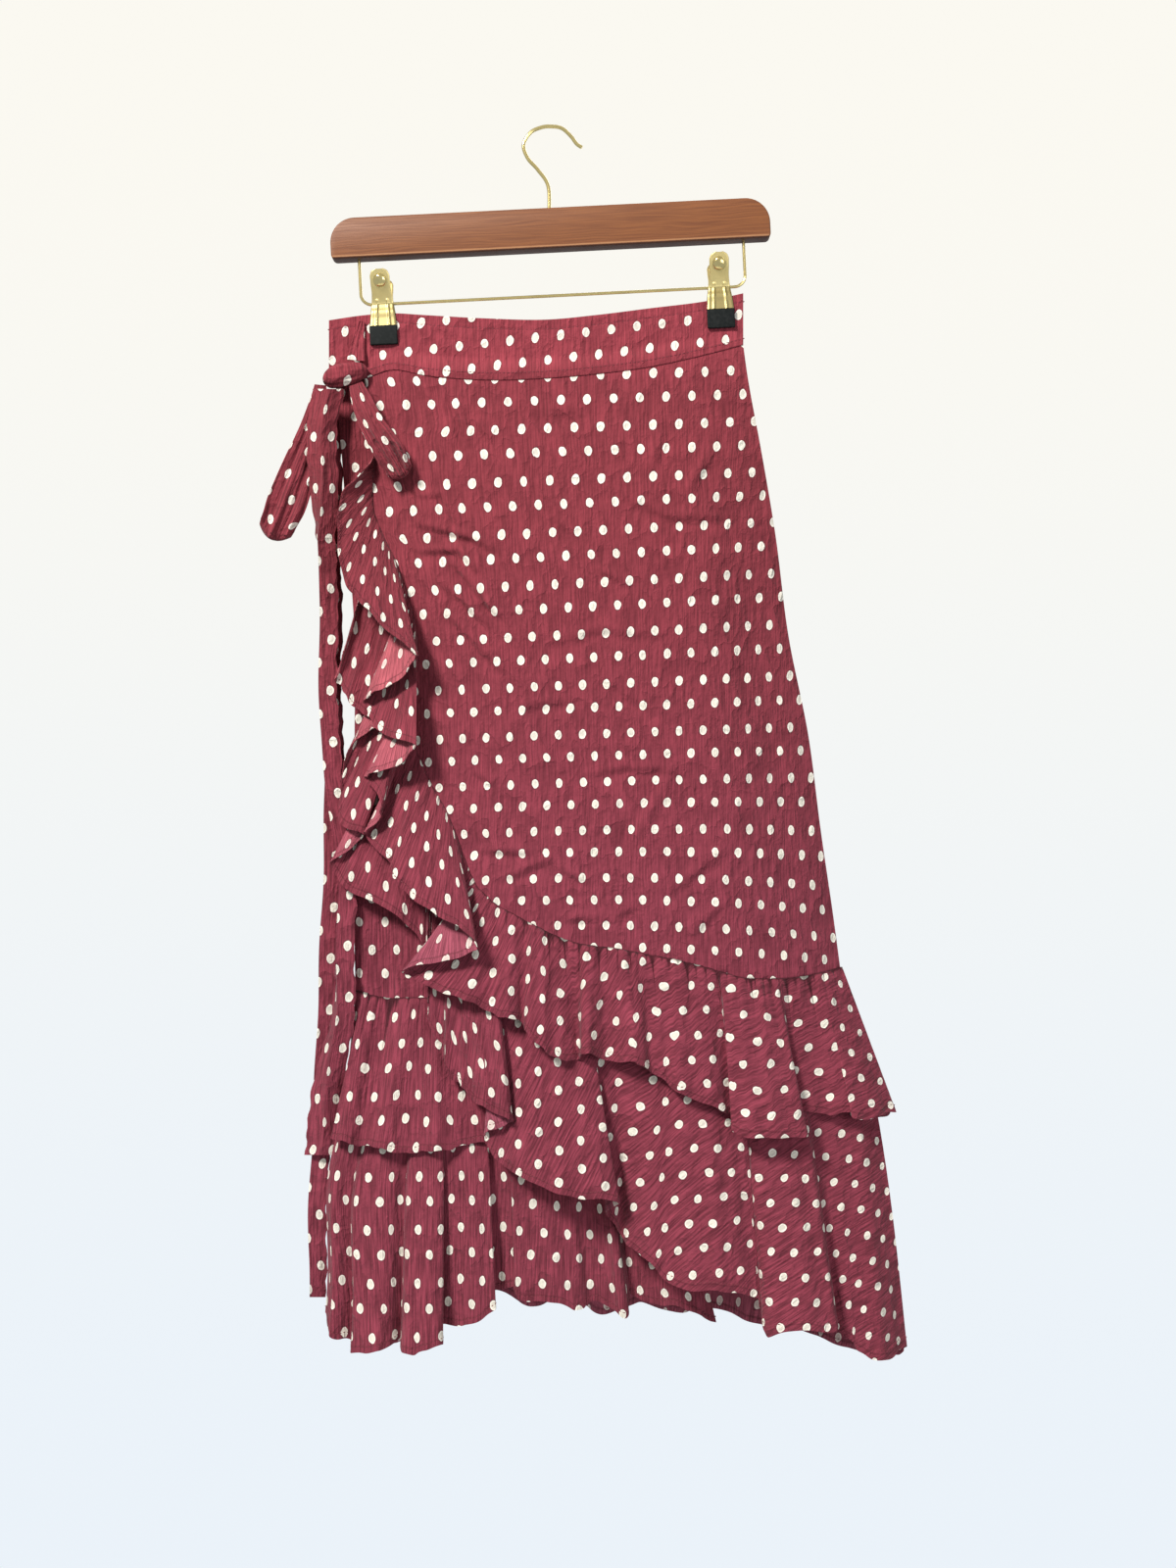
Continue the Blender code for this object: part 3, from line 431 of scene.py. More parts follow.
waist_left = smooth(BODY, np.array(WAIST[0][2]))[0]
waist_right = smooth(BODY, np.array(WAIST[-1][2]))[1]
left_top = smooth(WAIST, waist_left)[1] + TUCK
right_top = smooth(WAIST, waist_right)[1] + TUCK
x, z = patch(
    waist_edge(waist_left, waist_right),
    side_edge(1, right_top, BACK_SEAM[-1][2]),
    seam_edge(BACK_SEAM, 0, BACK_SEAM[-1][0]),
    side_edge(0, left_top, BACK_SEAM[0][2]),
    130, 120,
)
drape = 1.6 * np.sin(x / 19 + z / 170) * eased((-z - 260) / 300)
grid = placed(x, back_depth(x, z) + drape * roundness(x, x.min(), x.max()), z)
u, v = panel_lengths(grid, x, z, 0.06)
back_panel, _, _ = sewn_cloth("back-panel", grid[:, ::-1], VOILE, u[:, ::-1], v[:, ::-1])
own(back_panel)

# ---------------------------------------------------------------- under panel
# The left front lies under the wrap. It is the same voile, its free edge out of sight behind the
# overlap, and it is sewn to the waistband above and to its own two flounces below.
UNDER_RIGHT = 66.0
UNDER_GAP = (5.5, 14.0)
UNDER_SEAM = (
    # at,   x,    z
    (0, -159, -705), (12, -147, -708), (60, -99, -710.5), (140, -19, -711),
    (229, UNDER_RIGHT + 4, -711),
)


def front_depth(x, z):
    """How far back the overlap panel is, less than 0 towards the viewer."""
    left, right, side, front, _ = smooth(BODY, z)
    return side - PANEL_SIDE + (front - side) * roundness(x, left, right)


def under_depth(x, z):
    """How far back the under panel is, which lies behind the overlap."""
    left, right, _, _, _ = smooth(BODY, z)
    gap = UNDER_GAP[0] + (UNDER_GAP[1] - UNDER_GAP[0]) * eased((-z - 300) / 410)
    return front_depth(x, z) + gap * eased((x - left) / (0.07 * (right - left)))


free_top = np.array([[UNDER_RIGHT], [smooth(WAIST, np.array(UNDER_RIGHT))[1] + TUCK]])
free_foot = np.array(UNDER_SEAM[-1][1:])[:, None]
x, z = patch(
    waist_edge(waist_left, UNDER_RIGHT),
    lambda share: free_top * (1 - share) + free_foot * share,
    seam_edge(UNDER_SEAM, 0, UNDER_SEAM[-1][0]),
    side_edge(0, left_top, UNDER_SEAM[0][2]),
    120, 80,
)
grid = placed(x, under_depth(x, z), z)
u, v = panel_lengths(grid, x, z, 0.04)
under_panel, _, _ = sewn_cloth("under-panel", grid, VOILE, u, v, cloth=crinkled_cloth)
own(under_panel)

# ---------------------------------------------------------------- overlap panel
# The right front wraps over to the left side. Its left and lower edges run in one curve, which the
# flounces are sewn to. The voile hangs slightly creased below the waistband and across the hip.
CORNER_AT = 433.0
OVERLAP_SEAM = (
    # at,   x,    z
    (0, -152, -204.5), (36, -146, -239), (59, -145, -262), (105, -146, -308),
    (160, -126, -359), (192, -115, -390), (235, -110.5, -432), (268, -114.5, -465),
    (304, -112, -501), (333, -102, -528), (370, -85, -561), (407, -72, -595),
    (433, -60, -618.5), (448, -50, -630), (477, -25.5, -645), (503, -2, -657),
    (529, 22, -666), (555, 47, -669.5), (586, 78, -675), (613, 105, -680),
    (645, 136, -688), (664, 154, -693.5), (687, 177, -695), (727, 216, -691),
    (750, 238, -686),
)
PRINT_STEADY = 104.65
OFF_SEAM = 0.0008
CREASE_RISE = 2.1
PRINT = (
    # z, rows' lean and arch, further down, closer across
    (-700, 0.015, -0.00030, 24.0, 1.11),
    (-630, 0.020, -0.00025, 17.8, 1.11),
    (-553, 0.035, -0.00010, 11.4, 1.11),
    (-470, 0.040, 0.0, 6.0, 1.11),
    (-392, 0.050, 0.0, 4.6, 1.085),
    (-320, 0.045, 0.0, 5.4, 1.045),
    (-245, 0.033, 0.0, 6.65, 1.01),
    (-180, 0.033, 0.0, 6.65, 1.0),
)
PANEL_FOLDS = (
    # x1,   z1,   x2,  z2,  width, rise
    (-128, -215, -104, -330, 9, 1.6),
    (-96, -300, -40, -470, 12, -1.4),
    (-60, -420, 10, -560, 14, 1.2),
    (150, -300, 196, -640, 16, -2.2),
    (120, -260, 150, -660, 15, 1.6),
    (60, -560, 66, -660, 10, -1.2),
    (-92, -520, -50, -600, 8, -1.4),
)
CREASES = (
    # places along the line, half width, rise
    (((-90, -208), (-87, -229)), 3.2, 1.1),
    (((-76, -224), (-72, -239), (-67, -257)), 3.2, 1.2),
    (((-62, -236), (-55, -245), (-48, -253)), 3.0, 0.9),
    (((-105, -299), (-88, -297), (-77, -319), (-72, -334)), 3.2, 1.0),
    (((-109, -321), (-86, -327), (-62, -334), (-48, -342)), 3.4, 1.2),
    (((-107, -344), (-75, -343), (-61, -359)), 3.2, 1.2),
    (((-81, -351), (-62, -372), (-43, -396)), 3.4, 1.1),
    (((-83, -396), (-62, -417), (-41, -440)), 3.4, 1.1),
    (((-67, -389), (-43, -410)), 3.2, 0.8),
    (((60, -299), (100, -316), (144, -316)), 4.2, 0.9),
    (((81, -276), (90, -253)), 4.0, 0.8),
    (((109, -299), (128, -266)), 4.0, 0.9),
    (((38, -358), (62, -370)), 3.4, 0.8),
    (((-15, -229), (32, -229)), 5.5, 0.7),
    (((-60, -524), (-48, -534)), 3.2, 0.8),
    (((32, -526), (60, -520), (100, -522)), 3.8, 0.9),
    (((100, -520), (85, -551), (65, -586)), 4.2, 0.9),
    (((-55, -588), (-15, -590)), 3.6, 0.9),
    (((-38, -611), (1, -594)), 3.6, 0.9),
    (((8, -602), (30, -614)), 3.4, 0.9),
    (((98, -621), (120, -604), (144, -586)), 4.2, 1.0),
    (((116, -654), (142, -630)), 4.0, 0.9),
    (((53, -644), (67, -634)), 3.6, 0.8),
    (((10, -644), (43, -642)), 3.8, 0.8),
    (((-92, -368), (-66, -389), (-61, -398)), 3.2, 0.9),
    (((-53, -386), (-45, -394)), 3.0, 0.8),
    (((4, -316), (12, -326)), 3.2, 0.7),
    (((-2, -419), (40, -407), (85, -412)), 4.5, 0.7),
    (((-26, -471), (14, -465)), 4.2, 0.7),
    (((46, -447), (80, -473)), 4.2, 0.7),
)


def fold_relief(x, z, folds):
    """Soft folds, each along a line, raised towards the viewer."""
    total = 0.0
    for x1, z1, x2, z2, width, rise in folds:
        run = np.array((x2 - x1, z2 - z1), float)
        length = np.linalg.norm(run)
        along = ((x - x1) * run[0] + (z - z1) * run[1]) / length**2
        off = ((x - x1) * run[1] - (z - z1) * run[0]) / length
        fade = eased((along + 0.15) / 0.35) * eased((1.15 - along) / 0.35)
        total = total + rise * np.exp(-((off / width) ** 2)) * fade
    return total


def crease_relief(x, z):
    """Sharp small creases: a narrow ridge with a shallow dip beside it."""
    total = np.zeros_like(x)
    for places, width, rise in CREASES:
        nearest = np.full(x.shape, 1e9)
        signed = np.zeros_like(x)
        ends = np.linspace(0, 1, len(places))
        fade = np.zeros_like(x)
        for number, ((x1, z1), (x2, z2)) in enumerate(zip(places[:-1], places[1:])):
            run = np.array((x2 - x1, z2 - z1), float)
            length = np.linalg.norm(run)
            along = np.clip(((x - x1) * run[0] + (z - z1) * run[1]) / length**2, 0, 1)
            off_x, off_z = x - x1 - along * run[0], z - z1 - along * run[1]
            off = np.hypot(off_x, off_z)
            closer = off < nearest
            nearest = np.where(closer, off, nearest)
            signed = np.where(closer, np.sign(off_x * run[1] - off_z * run[0]) * off, signed)
            share = ends[number] + (ends[number + 1] - ends[number]) * along
            fade = np.where(closer, np.sin(np.pi * np.clip(0.12 + 0.76 * share, 0, 1)), fade)
        dip = np.exp(-(((signed - 1.7 * width) / width) ** 2))
        total += CREASE_RISE * rise * fade * (np.exp(-((signed / width) ** 2)) - 0.8 * dip)
    return total


def run_down(grid):
    """How far each point is from the first row, along its own column."""
    steps = np.linalg.norm(np.diff(grid, axis=0), axis=-1)
    return np.concatenate([np.zeros((1, grid.shape[1])), np.cumsum(steps, axis=0)])


x, z = patch(
    waist_edge(OVERLAP_SEAM[0][1], waist_right),
    side_edge(1, right_top, OVERLAP_SEAM[-1][2]),
    seam_edge(OVERLAP_SEAM, CORNER_AT, OVERLAP_SEAM[-1][0]),
    seam_edge(OVERLAP_SEAM, 0, CORNER_AT),
    245, 185,
)
y = front_depth(x, z) - fold_relief(x, z, PANEL_FOLDS) - crease_relief(x, z)
grid = placed(x, y, z)
u, v = panel_lengths(grid, x, z, 0.0)
lean, arch, down, closer = smooth(PRINT, z)
steady = np.array([np.interp(PRINT_STEADY, row_x, row) for row_x, row in zip(x, u)])[:, None]
u = 5 * DOT_PITCH * MM + (u - steady) * closer
v = v + (lean * x + arch * x**2 + down) * MM
# The distance to the seam along the lower and left edges, along which painted shade darkens the cloth.
to_foot = run_down(grid[::-1])[::-1]
to_edge = run_down(grid.swapaxes(0, 1)).T
overlap_panel, _, _ = sewn_cloth("overlap-panel", grid, VOILE, u, v,
                                 seam=np.minimum(to_foot, to_edge) + OFF_SEAM)
own(overlap_panel)

# ---------------------------------------------------------------- waistband
# A straight band of the same voile, folded double over interfacing, in three layers: back, under
# and front. It is topstitched along its upper edge, and a narrow raised welt runs along its seam.
BAND_WALL = 1.6
BAND_LAYER = BAND_WALL + SEAM_GAP
FRONT_BAND_LEFT = -153.0
CLIP_SPAN = (-125.0, 127.0)
WELT_RISE = 0.6
BAND_PRINT = (8.1, -2.1, 1.033)
BAND_BODY = BAND_WALL - 0.4
BAND_ROUNDING = 0.016
BAND_FLARE_FROM = 0.64
WELT_FROM = 0.840
STITCH_AT = 0.165
WELT_STITCH_AT = 0.88
THREAD_OUT = 0.00012
BAND_ROWS = np.concatenate([
    [0, 0.004, 0.012, 0.03, 0.06, 0.10, 0.13, 0.150, STITCH_AT, 0.18, 0.21],
    np.linspace(0.25, 0.80, 20),
    [0.83, 0.842, 0.852, 0.862, WELT_STITCH_AT, 0.92, 0.955, 0.98, 0.99, 0.997, 1.0],
])
BAND_FOLDS = (
    # x1,   z1,   x2,  z2,  width, rise
    (-112, -157, -80, -183, 4.2, 1.6),
    (-129, -174, -101, -193, 3.4, 1.3),
    (-98, -160, -62, -172, 4.0, 1.1),
    (-146, -176, -152, -189, 2.6, 1.0),
)
sewn_lines = []


def hump(share, middle, width):
    """A smooth hump, 1 high in its middle."""
    return np.exp(-(((share - middle) / width) ** 2))


def band_end(share):
    """The band's thickness by its rounded edges, from the distance to an edge."""
    return np.sqrt(np.clip(1 - (1 - np.clip(share / BAND_ROUNDING, 0, 1)) ** 2, 0.02, 1))


def band(name, x_from, x_to, columns, clipped, side, swell, panel_depth, folds=()):
    """One layer of the waistband, flat at the clips and flared to the panel at its lower edge."""
    x = np.linspace(max(x_from, BODY[1][1]), x_to, columns)[None, :]
    x[0, 0] = x_from
    top, bottom = smooth(WAIST, x)
    share = BAND_ROWS[:, None]
    z = top - (top - bottom) * share
    between = (x - CLIP_SPAN[0]) / (CLIP_SPAN[1] - CLIP_SPAN[0])
    bulge = swell * np.sin(np.pi * np.clip(between, 0, 1)) ** 2
    inwards = eased((x - BODY[0][1]) / 22) * eased((BODY[0][2] + 6 - x) / 10)
    flat = clipped * inwards + side * (BAND_LAYER / 2 * (1 - inwards) + bulge)
    hung = panel_depth(x, bottom) + side * (BAND_WALL - PANEL_WALL) / 2
    y = flat + (hung - flat) * eased((share - BAND_FLARE_FROM) / 0.22)
    ripple = 0.16 * np.sin(x / 2.6 + 3 * np.sin(x / 23)) + 0.128 * np.sin(x / 5.3)
    loose = hump(share, 0.22, 0.09) + hump(share, 0.80, 0.07)
    welt = WELT_RISE * eased((share - WELT_FROM) / 0.022) * (0.6 if clipped else 0.0)
    stitch_dip = 0.28 * hump(share, STITCH_AT, 0.012)
    y = y + side * (ripple * loose + welt - stitch_dip + fold_relief(x, z, folds))
    thickness = BAND_BODY * band_end(share) * band_end(1 - share) * np.ones_like(x)
    grid = placed(x, y, z)
    u = (x - BAND_PRINT[0]) * BAND_PRINT[2] * MM * np.ones_like(share)
    v = (-z + 0.1125 * x + BAND_PRINT[1]) * MM
    if side > 0:
        grid, u, v, thickness = grid[:, ::-1], u[:, ::-1], v[:, ::-1], thickness[:, ::-1]
    piece, front, _ = sewn_cloth(name, grid, thickness, u, v)
    out = np.array((0, side * THREAD_OUT, 0))
    for stitched in (STITCH_AT, WELT_STITCH_AT) if clipped else (STITCH_AT,):
        sewn_lines.append(front[np.argmin(np.abs(BAND_ROWS - stitched))] + out)
    return piece


waistband_back = band("waistband-back", -181, 157, 170, BAND_LAYER, 1, 3.0, back_depth)
own(waistband_back)
waistband_under = band("waistband-under", -181, UNDER_RIGHT, 130, 0.0, -1, 0.8, under_depth)
own(waistband_under)
waistband_front = band("waistband-front", FRONT_BAND_LEFT, 157, 240, -BAND_LAYER, -1, 3.0, front_depth,
                       BAND_FOLDS)
own(waistband_front)

# ---------------------------------------------------------------- flounces
# Two tiers of flared voile go round the whole skirt, gathered into the same seam, the upper one
# shorter. Down the wrap's left edge they fall in a cascade of turned folds. Hems are narrow, rolled.
FLOUNCE_TUCK = 1.6
SIDE_FADE = 15.0
LEFT_BULGE = 9.0
RIGHT_BULGE = 8.5
BULGE_REACH = 70.0
CASCADE_END = (455.0, 500.0)
GATHER = 7.4
GATHER_RISE = 0.5
GATHER_DOWN = 0.40
PLEAT = 19.0
PLEAT_RISE = 0.9
PLEAT_DOWN = 0.50
FLUTE_RISE = 1.1
PRINT_BELOW_SEAM = 0.0085
HEM_WALL = 0.9
CUT_AT = (0.31, 0.315, 0.32)
TIERS = {
    # how far it starts behind its panel, the same at a side seam, flare, and flare in the cascade
    "upper": (0.55, -1.28, 1.0, 0.8),
    "lower": (1.2, 0.07, 1.6, 1.0),
}
OVERLAP_UPPER = (
    # at,   x,    z,   y
    (61, -147, -274, -19), (76, -168, -295, -26), (92, -175, -331, -26), (116, -165, -375, -36),
    (132, -146, -397, -44), (152, -112, -428, -55), (158, -112, -435, -49), (170, -131, -455, -42),
    (178, -149, -463, -34), (184, -151, -470, -24), (198, -143, -489, -32), (215, -113, -503, -55),
    (221, -114, -509, -49), (232, -130, -523, -42), (247, -149, -527, -34), (253, -150, -533, -24),
    (262, -139, -549, -38), (281, -140, -564, -36), (292, -150, -573, -31), (298, -151, -579, -22),
    (316, -133, -597, -36), (330, -129, -613, -44), (354, -104, -635, -52), (376, -72, -655, -58),
    (387, -60, -667, -60), (396, -64, -672, -55), (411, -88, -680, -50), (426, -117, -686, -43),
    (433, -118, -691, -36), (440, -98, -701, -41), (447, -72, -711, -47), (459, -52, -720, -44),
    (469, -35, -727, -52), (481, -23, -730, -44), (493, -13, -747, -56), (505, 5, -758, -52),
    (526, 22, -761, -42), (538, 29, -754, -54), (555, 47, -762, -42), (570, 69, -762, -56),
    (582, 85, -773, -44), (611, 110, -789, -50), (631, 138, -802, -44), (641, 152, -806, -38),
    (650, 150, -820, -52), (673, 178, -824, -56), (693, 208, -823, -46), (699, 203, -804, -28),
    (717, 224, -805, -24), (728, 243, -803, -24), (735, 248, -808, -26), (743, 267, -807, -14),
    (750, 282, -802, 1),
)
OVERLAP_LOWER = (
    # at,   x,    z,   y
    (96, -152, -343, -15), (112, -158, -393, -15), (130, -174, -444, -12), (139, -174, -452, -8),
    (153, -166, -465, -13), (166, -153, -478, -18), (177, -142, -485, -27), (184, -146, -491, -20),
    (194, -167, -510, -12), (212, -171, -540, -7), (230, -173, -564, -13), (247, -155, -576, -25),
    (253, -156, -581, -18), (265, -176, -597, -12), (271, -178, -605, -6), (286, -163, -624, -14),
    (307, -130, -639, -24), (333, -106, -667, -25), (353, -98, -731, -26), (370, -88, -751, -28),
    (385, -84, -773, -29), (404, -72, -782, -31), (418, -66, -791, -34), (430, -52, -801, -41),
    (440, -34, -808, -48), (446, -34, -812, -42), (455, -52, -819, -36), (461, -53, -826, -28),
    (472, -38, -848, -36), (491, -9, -863, -50), (508, 24, -874, -54), (525, 54, -876, -48),
    (537, 46, -886, -32), (562, 59, -905, -24), (593, 75, -922, -36), (611, 103, -945, -44),
    (631, 138, -950, -50), (648, 166, -953, -40), (656, 172, -964, -38), (665, 176, -985, -46),
    (681, 200, -982, -54), (697, 234, -981, -44), (706, 229, -972, -26), (718, 240, -985, -24),
    (729, 254, -1000, -26), (740, 275, -1005, -18), (750, 290, -994, 3.55),
)
UNDER_UPPER = (
    # at,  x,    z,   y
    (0, -171, -823, 1), (6, -178, -824, -10), (14, -166, -829, -17), (28, -154, -830, -13),
    (42, -136, -834, -22), (54, -114, -836, -17), (66, -95, -835, -26), (80, -74, -831, -19),
    (98, -50, -828, -22), (125, -14, -830, -24), (150, 14, -831, -26), (175, 40, -830, -20),
    (200, 66, -831, -23), (229, 94, -830, -20),
)
UNDER_LOWER = (
    # at,  x,    z,   y
    (0, -184, -967, 3.55), (6, -179, -986, -10), (14, -163, -990, -5), (20, -161, -999, -20),
    (34, -141, -999, -26), (46, -121, -986, -10), (52, -121, -999, -26), (62, -106, -999, -32),
    (72, -89, -992, -24), (77, -92, -978, -8), (88, -70, -977, -14), (102, -47, -965, -18),
    (108, -50, -950, -3), (120, -30, -946, -7), (130, -26, -955, -12), (148, 3, -959, -14),
    (162, 22, -964, -12), (172, 38, -958, -6), (186, 62, -970, -14), (194, 64, -953, 0),
    (206, 85, -959, -3), (218, 110, -964, -8), (229, 134, -974, -4),
)
BACK_UPPER = (
    # at,  x,    z,   y
    (0, -171, -823, 7), (20, -158, -828, 28), (48, -128, -826, 26), (75, -98, -831, 46),
    (102, -70, -827, 34), (130, -36, -831, 50), (160, 0, -826, 36), (190, 34, -829, 52),
    (220, 66, -823, 38), (250, 100, -826, 52), (280, 134, -819, 36), (310, 172, -822, 46),
    (340, 208, -814, 28), (370, 246, -815, 30), (388, 270, -806, 14), (398, 282, -802, 7),
)
BACK_LOWER = (
    # at,  x,    z,   y
    (0, -184, -967, 4.45), (16, -176, -985, 22), (36, -150, -978, 18), (58, -124, -990, 38),
    (80, -100, -966, 22), (104, -72, -956, 42), (128, -44, -948, 26), (152, -14, -962, 46),
    (178, 14, -953, 28), (202, 44, -968, 48), (228, 74, -958, 28), (252, 104, -967, 44),
    (278, 134, -962, 24), (304, 170, -977, 40), (330, 204, -980, 20), (354, 236, -994, 30),
    (376, 262, -1000, 14), (390, 282, -1002, 12), (398, 290, -994, 4.45),
)


def gathered(at, pitch):
    """The gathers along a seam, from 0 in a furrow to 1 on a pleat, uneven as hand-drawn ones."""
    phase = 2 * np.pi * at / pitch + 1.9 * np.sin(at / 13.7) + 1.3 * np.sin(at / 31.0 + 1)
    size = 0.7 + 0.3 * np.sin(at / 9.1 + 2) * np.sin(at / 21.3)
    return np.abs(np.sin(phase / 2)) ** 0.6 * size


def flounce(name, seam, folds, panel_depth, ends, steps, puff, grain):
    """A gathered strip from a seam to a folded hem.

    `ends` says which of its ends is at a side seam, `steps` is the number of columns to a fold,
    `puff` is the height of the gathers, less than 0 at the back, and `grain` gives each cut's start
    along the seam and how far its warp is turned from its folds at its two ends.
    """
    panel, _, tier = name.split("-")
    layer, side_layer, flare, cascade_flare = TIERS[tier]
    front = -1.0 if puff > 0 else 1.0
    turns = np.array([fold[0] for fold in folds], float)
    numbers = np.arange(len(turns))
    joins = np.interp([cut[0] for cut in grain[1:]], turns, numbers)
    places = np.arange((len(turns) - 1) * steps + 1) / steps
    places = np.sort(np.concatenate([places, joins + CUT_AT[0] / steps, joins + CUT_AT[2] / steps]))
    at = np.interp(places, numbers, turns)
    starts = [0, *np.interp(joins + CUT_AT[1] / steps, numbers, turns)]

    # The hem, the seam, and the cloth between them.
    hem_x, hem_z, hem_y = smooth([(n, *fold[1:]) for n, fold in enumerate(folds)], places)
    hem_x = hem_x + 0.9 * np.sin(places * 4.1) + 0.5 * np.sin(places * 9.7 + 1)
    hem_z = hem_z + 0.9 * np.sin(places * 3.3 + 2) + 0.5 * np.sin(places * 8.3)
    seam_x, seam_z = smooth(seam, at)
    run_x, run_z = np.gradient(seam_x, places), np.gradient(seam_z, places)
    length = np.hypot(run_x, run_z)
    start_y = panel_depth(seam_x, seam_z)
    seam_x = seam_x - FLOUNCE_TUCK * run_z / length
    seam_z = seam_z + FLOUNCE_TUCK * run_x / length
    inwards = np.ones_like(at)
    for at_side, away in zip(ends, (at - at[0], at[-1] - at)):
        if at_side:
            inwards = inwards * eased(away / SIDE_FADE)
    start_y = start_y - front * (side_layer + (layer - side_layer) * inwards)
    if panel == "overlap":
        past = (at - CASCADE_END[0]) / (CASCADE_END[1] - CASCADE_END[0])
        flare = cascade_flare + (flare - cascade_flare) * eased(past)
    hem_share = HEM / float(np.median(np.hypot(hem_x - seam_x, hem_z - seam_z)))
    v = np.concatenate([[0, 0.012, 0.024, 0.04, 0.06], np.linspace(0.09, 1 - hem_share * 1.25, 17),
                        [1 - hem_share * share for share in (1.04, 0.96, 0.5)], [1.0]])[:, None]
    x = seam_x + (hem_x - seam_x) * v
    z = seam_z + (hem_z - seam_z) * v
    y = start_y + (hem_y - start_y) * v**flare
    if tier == "lower" and ends[0]:
        x = x - LEFT_BULGE * hump(v, 0.60, 0.20) * (1 - eased((at - at[0]) / BULGE_REACH))
    if tier == "lower" and ends[1]:
        x = x + RIGHT_BULGE * np.sin(np.pi * v**0.8) * (1 - eased((at[-1] - at) / BULGE_REACH))

    # Gathers below the seam and small flutes towards the hem, both calmer in the cascade.
    calm = inwards
    if name == "overlap-flounce-upper":
        calm = inwards * (0.45 + 0.55 * eased((at - CASCADE_END[0]) / 40))
    length = PLEAT_DOWN + 0.22 * np.sin(at / 7.3) * np.sin(at / 17.9 + 1)
    small = gathered(at, GATHER) * (1 - eased(v / GATHER_DOWN)) * GATHER_RISE
    large = gathered(at, PLEAT) * (1 - eased((v - 0.04) / length)) * PLEAT_RISE
    y = y + front * abs(puff) * eased(v / 0.035) * (small + large) * calm
    steps_along = np.linalg.norm(np.diff(placed(x, y, z)[-1], axis=0), axis=-1)
    along = np.concatenate([[0], np.cumsum(steps_along)])
    flute = np.sin(along / 0.0041 + 1.7 * np.sin(along / 0.019)) + 0.5 * np.sin(along / 0.0105)
    y = y + front * FLUTE_RISE * flute * v**1.2 * calm * np.ones_like(x)
    grid = placed(x, y, z)

    # The print turns round each cut, as the warp of a flared strip does.
    down = run_down(grid)
    depth = float(np.median(down[-1]))
    u_v = np.zeros((2, *grid.shape[:2]))
    for (_, turn_from, turn_to), start, end in zip(grain, starts, starts[1:] + [1e9]):
        cut = (at >= start) & (at < end)
        run = along[cut] - along[cut][0]
        turn = math.radians(turn_to - turn_from)
        radius = run[-1] / turn - depth + down[:, cut]
        angle = math.radians(turn_from) + run / run[-1] * turn
        u_v[:, :, cut] = radius * np.sin(angle), radius * np.cos(angle) + PRINT_BELOW_SEAM
    # Painted shade: the seam distance is shortened in the furrows of the gathers, so the cloth darkens
    # down them.
    creased = np.zeros_like(at)
    for pitch, deepness in ((GATHER, 0.86), (PLEAT, 0.965)):
        creased = np.maximum(creased, deepness * hump(gathered(at, pitch), 0, 0.50))
    from_seam = down * (1 - creased * calm)
    from_hem = np.where(v > 0.5, down[-1] - down, FAR)
    thickness = VOILE + (HEM_WALL - VOILE) * (v > 1 - hem_share) * np.ones_like(at)
    looks = [grid, thickness, *u_v, from_hem, from_seam]
    if puff < 0:
        looks = [value[:, ::-1] for value in looks]
    piece, outer, inner = sewn_cloth(name, *looks, crinkled_cloth)
    hem_row = int(np.argmin(np.abs(v[:, 0] - (1 - hem_share * 0.96))))
    sewn_lines.extend([outer[hem_row], inner[hem_row]])
    own(piece)


wrap_cuts, under_cut, back_cut = ((0, -6, 10), (430, 12, 84)), ((0, -6, 10),), ((0, -30, 30),)
flounce("overlap-flounce-upper", OVERLAP_SEAM, OVERLAP_UPPER, front_depth, (False, True), 18, 4.6,
        wrap_cuts)
flounce("overlap-flounce-lower", OVERLAP_SEAM, OVERLAP_LOWER, front_depth, (False, True), 16, 0.5,
        wrap_cuts)
flounce("under-flounce-upper", UNDER_SEAM, UNDER_UPPER, under_depth, (True, False), 30, 4.2,
        under_cut)
flounce("under-flounce-lower", UNDER_SEAM, UNDER_LOWER, under_depth, (True, False), 16, 0.4,
        under_cut)
flounce("back-flounce-upper", BACK_SEAM, BACK_UPPER, back_depth, (True, True), 26, -2.9,
        back_cut)
flounce("back-flounce-lower", BACK_SEAM, BACK_LOWER, back_depth, (True, True), 20, -0.4,
        back_cut)

# ---------------------------------------------------------------- tie
# The wrap is held by a sash of the same voile, knotted over the left side seam into a bow. Its two
# loops are crushed lengthwise, and its two tails hang folded along their middle, to different lengths.
RIBBON_HALF = 17.0
RIBBON_WALL = 0.7
STRAP = (
    # at,  x,    z,   y,  half width
    (0, -154.5, -157.5, -4.0, 2.4),
    (1, -156, -167, -4.4, 4.0),
    (2, -158, -179, -6.6, 5.6),
    (3, -159, -189.4, -10.0, 7.0),
)
KNOT_CENTRE = (-168.0, -11.5, -201.0)
KNOT_SIZE = (36.0, 15.0, 20.0)
KNOT_LEAN = 0.2
LOOPS = {
    "tie-loop-left": (
        # at,   x,    z, front, back, half width
        (0, -188, -209.5, -8, -5, 4.5),
        (1, -189.5, -224, -9, -5, 7.5),
        (2, -195, -248, -10, -5, 11),
        (3, -205, -277, -10, -4.5, 14.5),
        (4, -215.5, -306, -13, -4.5, 16.5),
        (5, -226, -331, -15, -5, 16),
    ),
    "tie-loop-right": (
        # at,   x,    z, front, back, half width
        (0, -159, -208.8, -15, -10, 5.5),
        (1, -154, -223, -22, -15, 8.5),
        (2, -146, -241, -29, -19, 10),
        (3, -132.5, -263, -31, -21, 12.5),
        (4, -121.5, -282, -28, -22, 14),
    ),
}
LOOP_ROWS = 70
LOOP_TURN_ROWS = 20
LOOP_COLUMNS = 31
LOOP_CROWN = 1.6
LOOP_ENDS = {
    # how far the end is rounded, how much it is narrowed
    "tie-loop-left": (8.0, 0.08),
    "tie-loop-right": (5.0, 0.22),
}
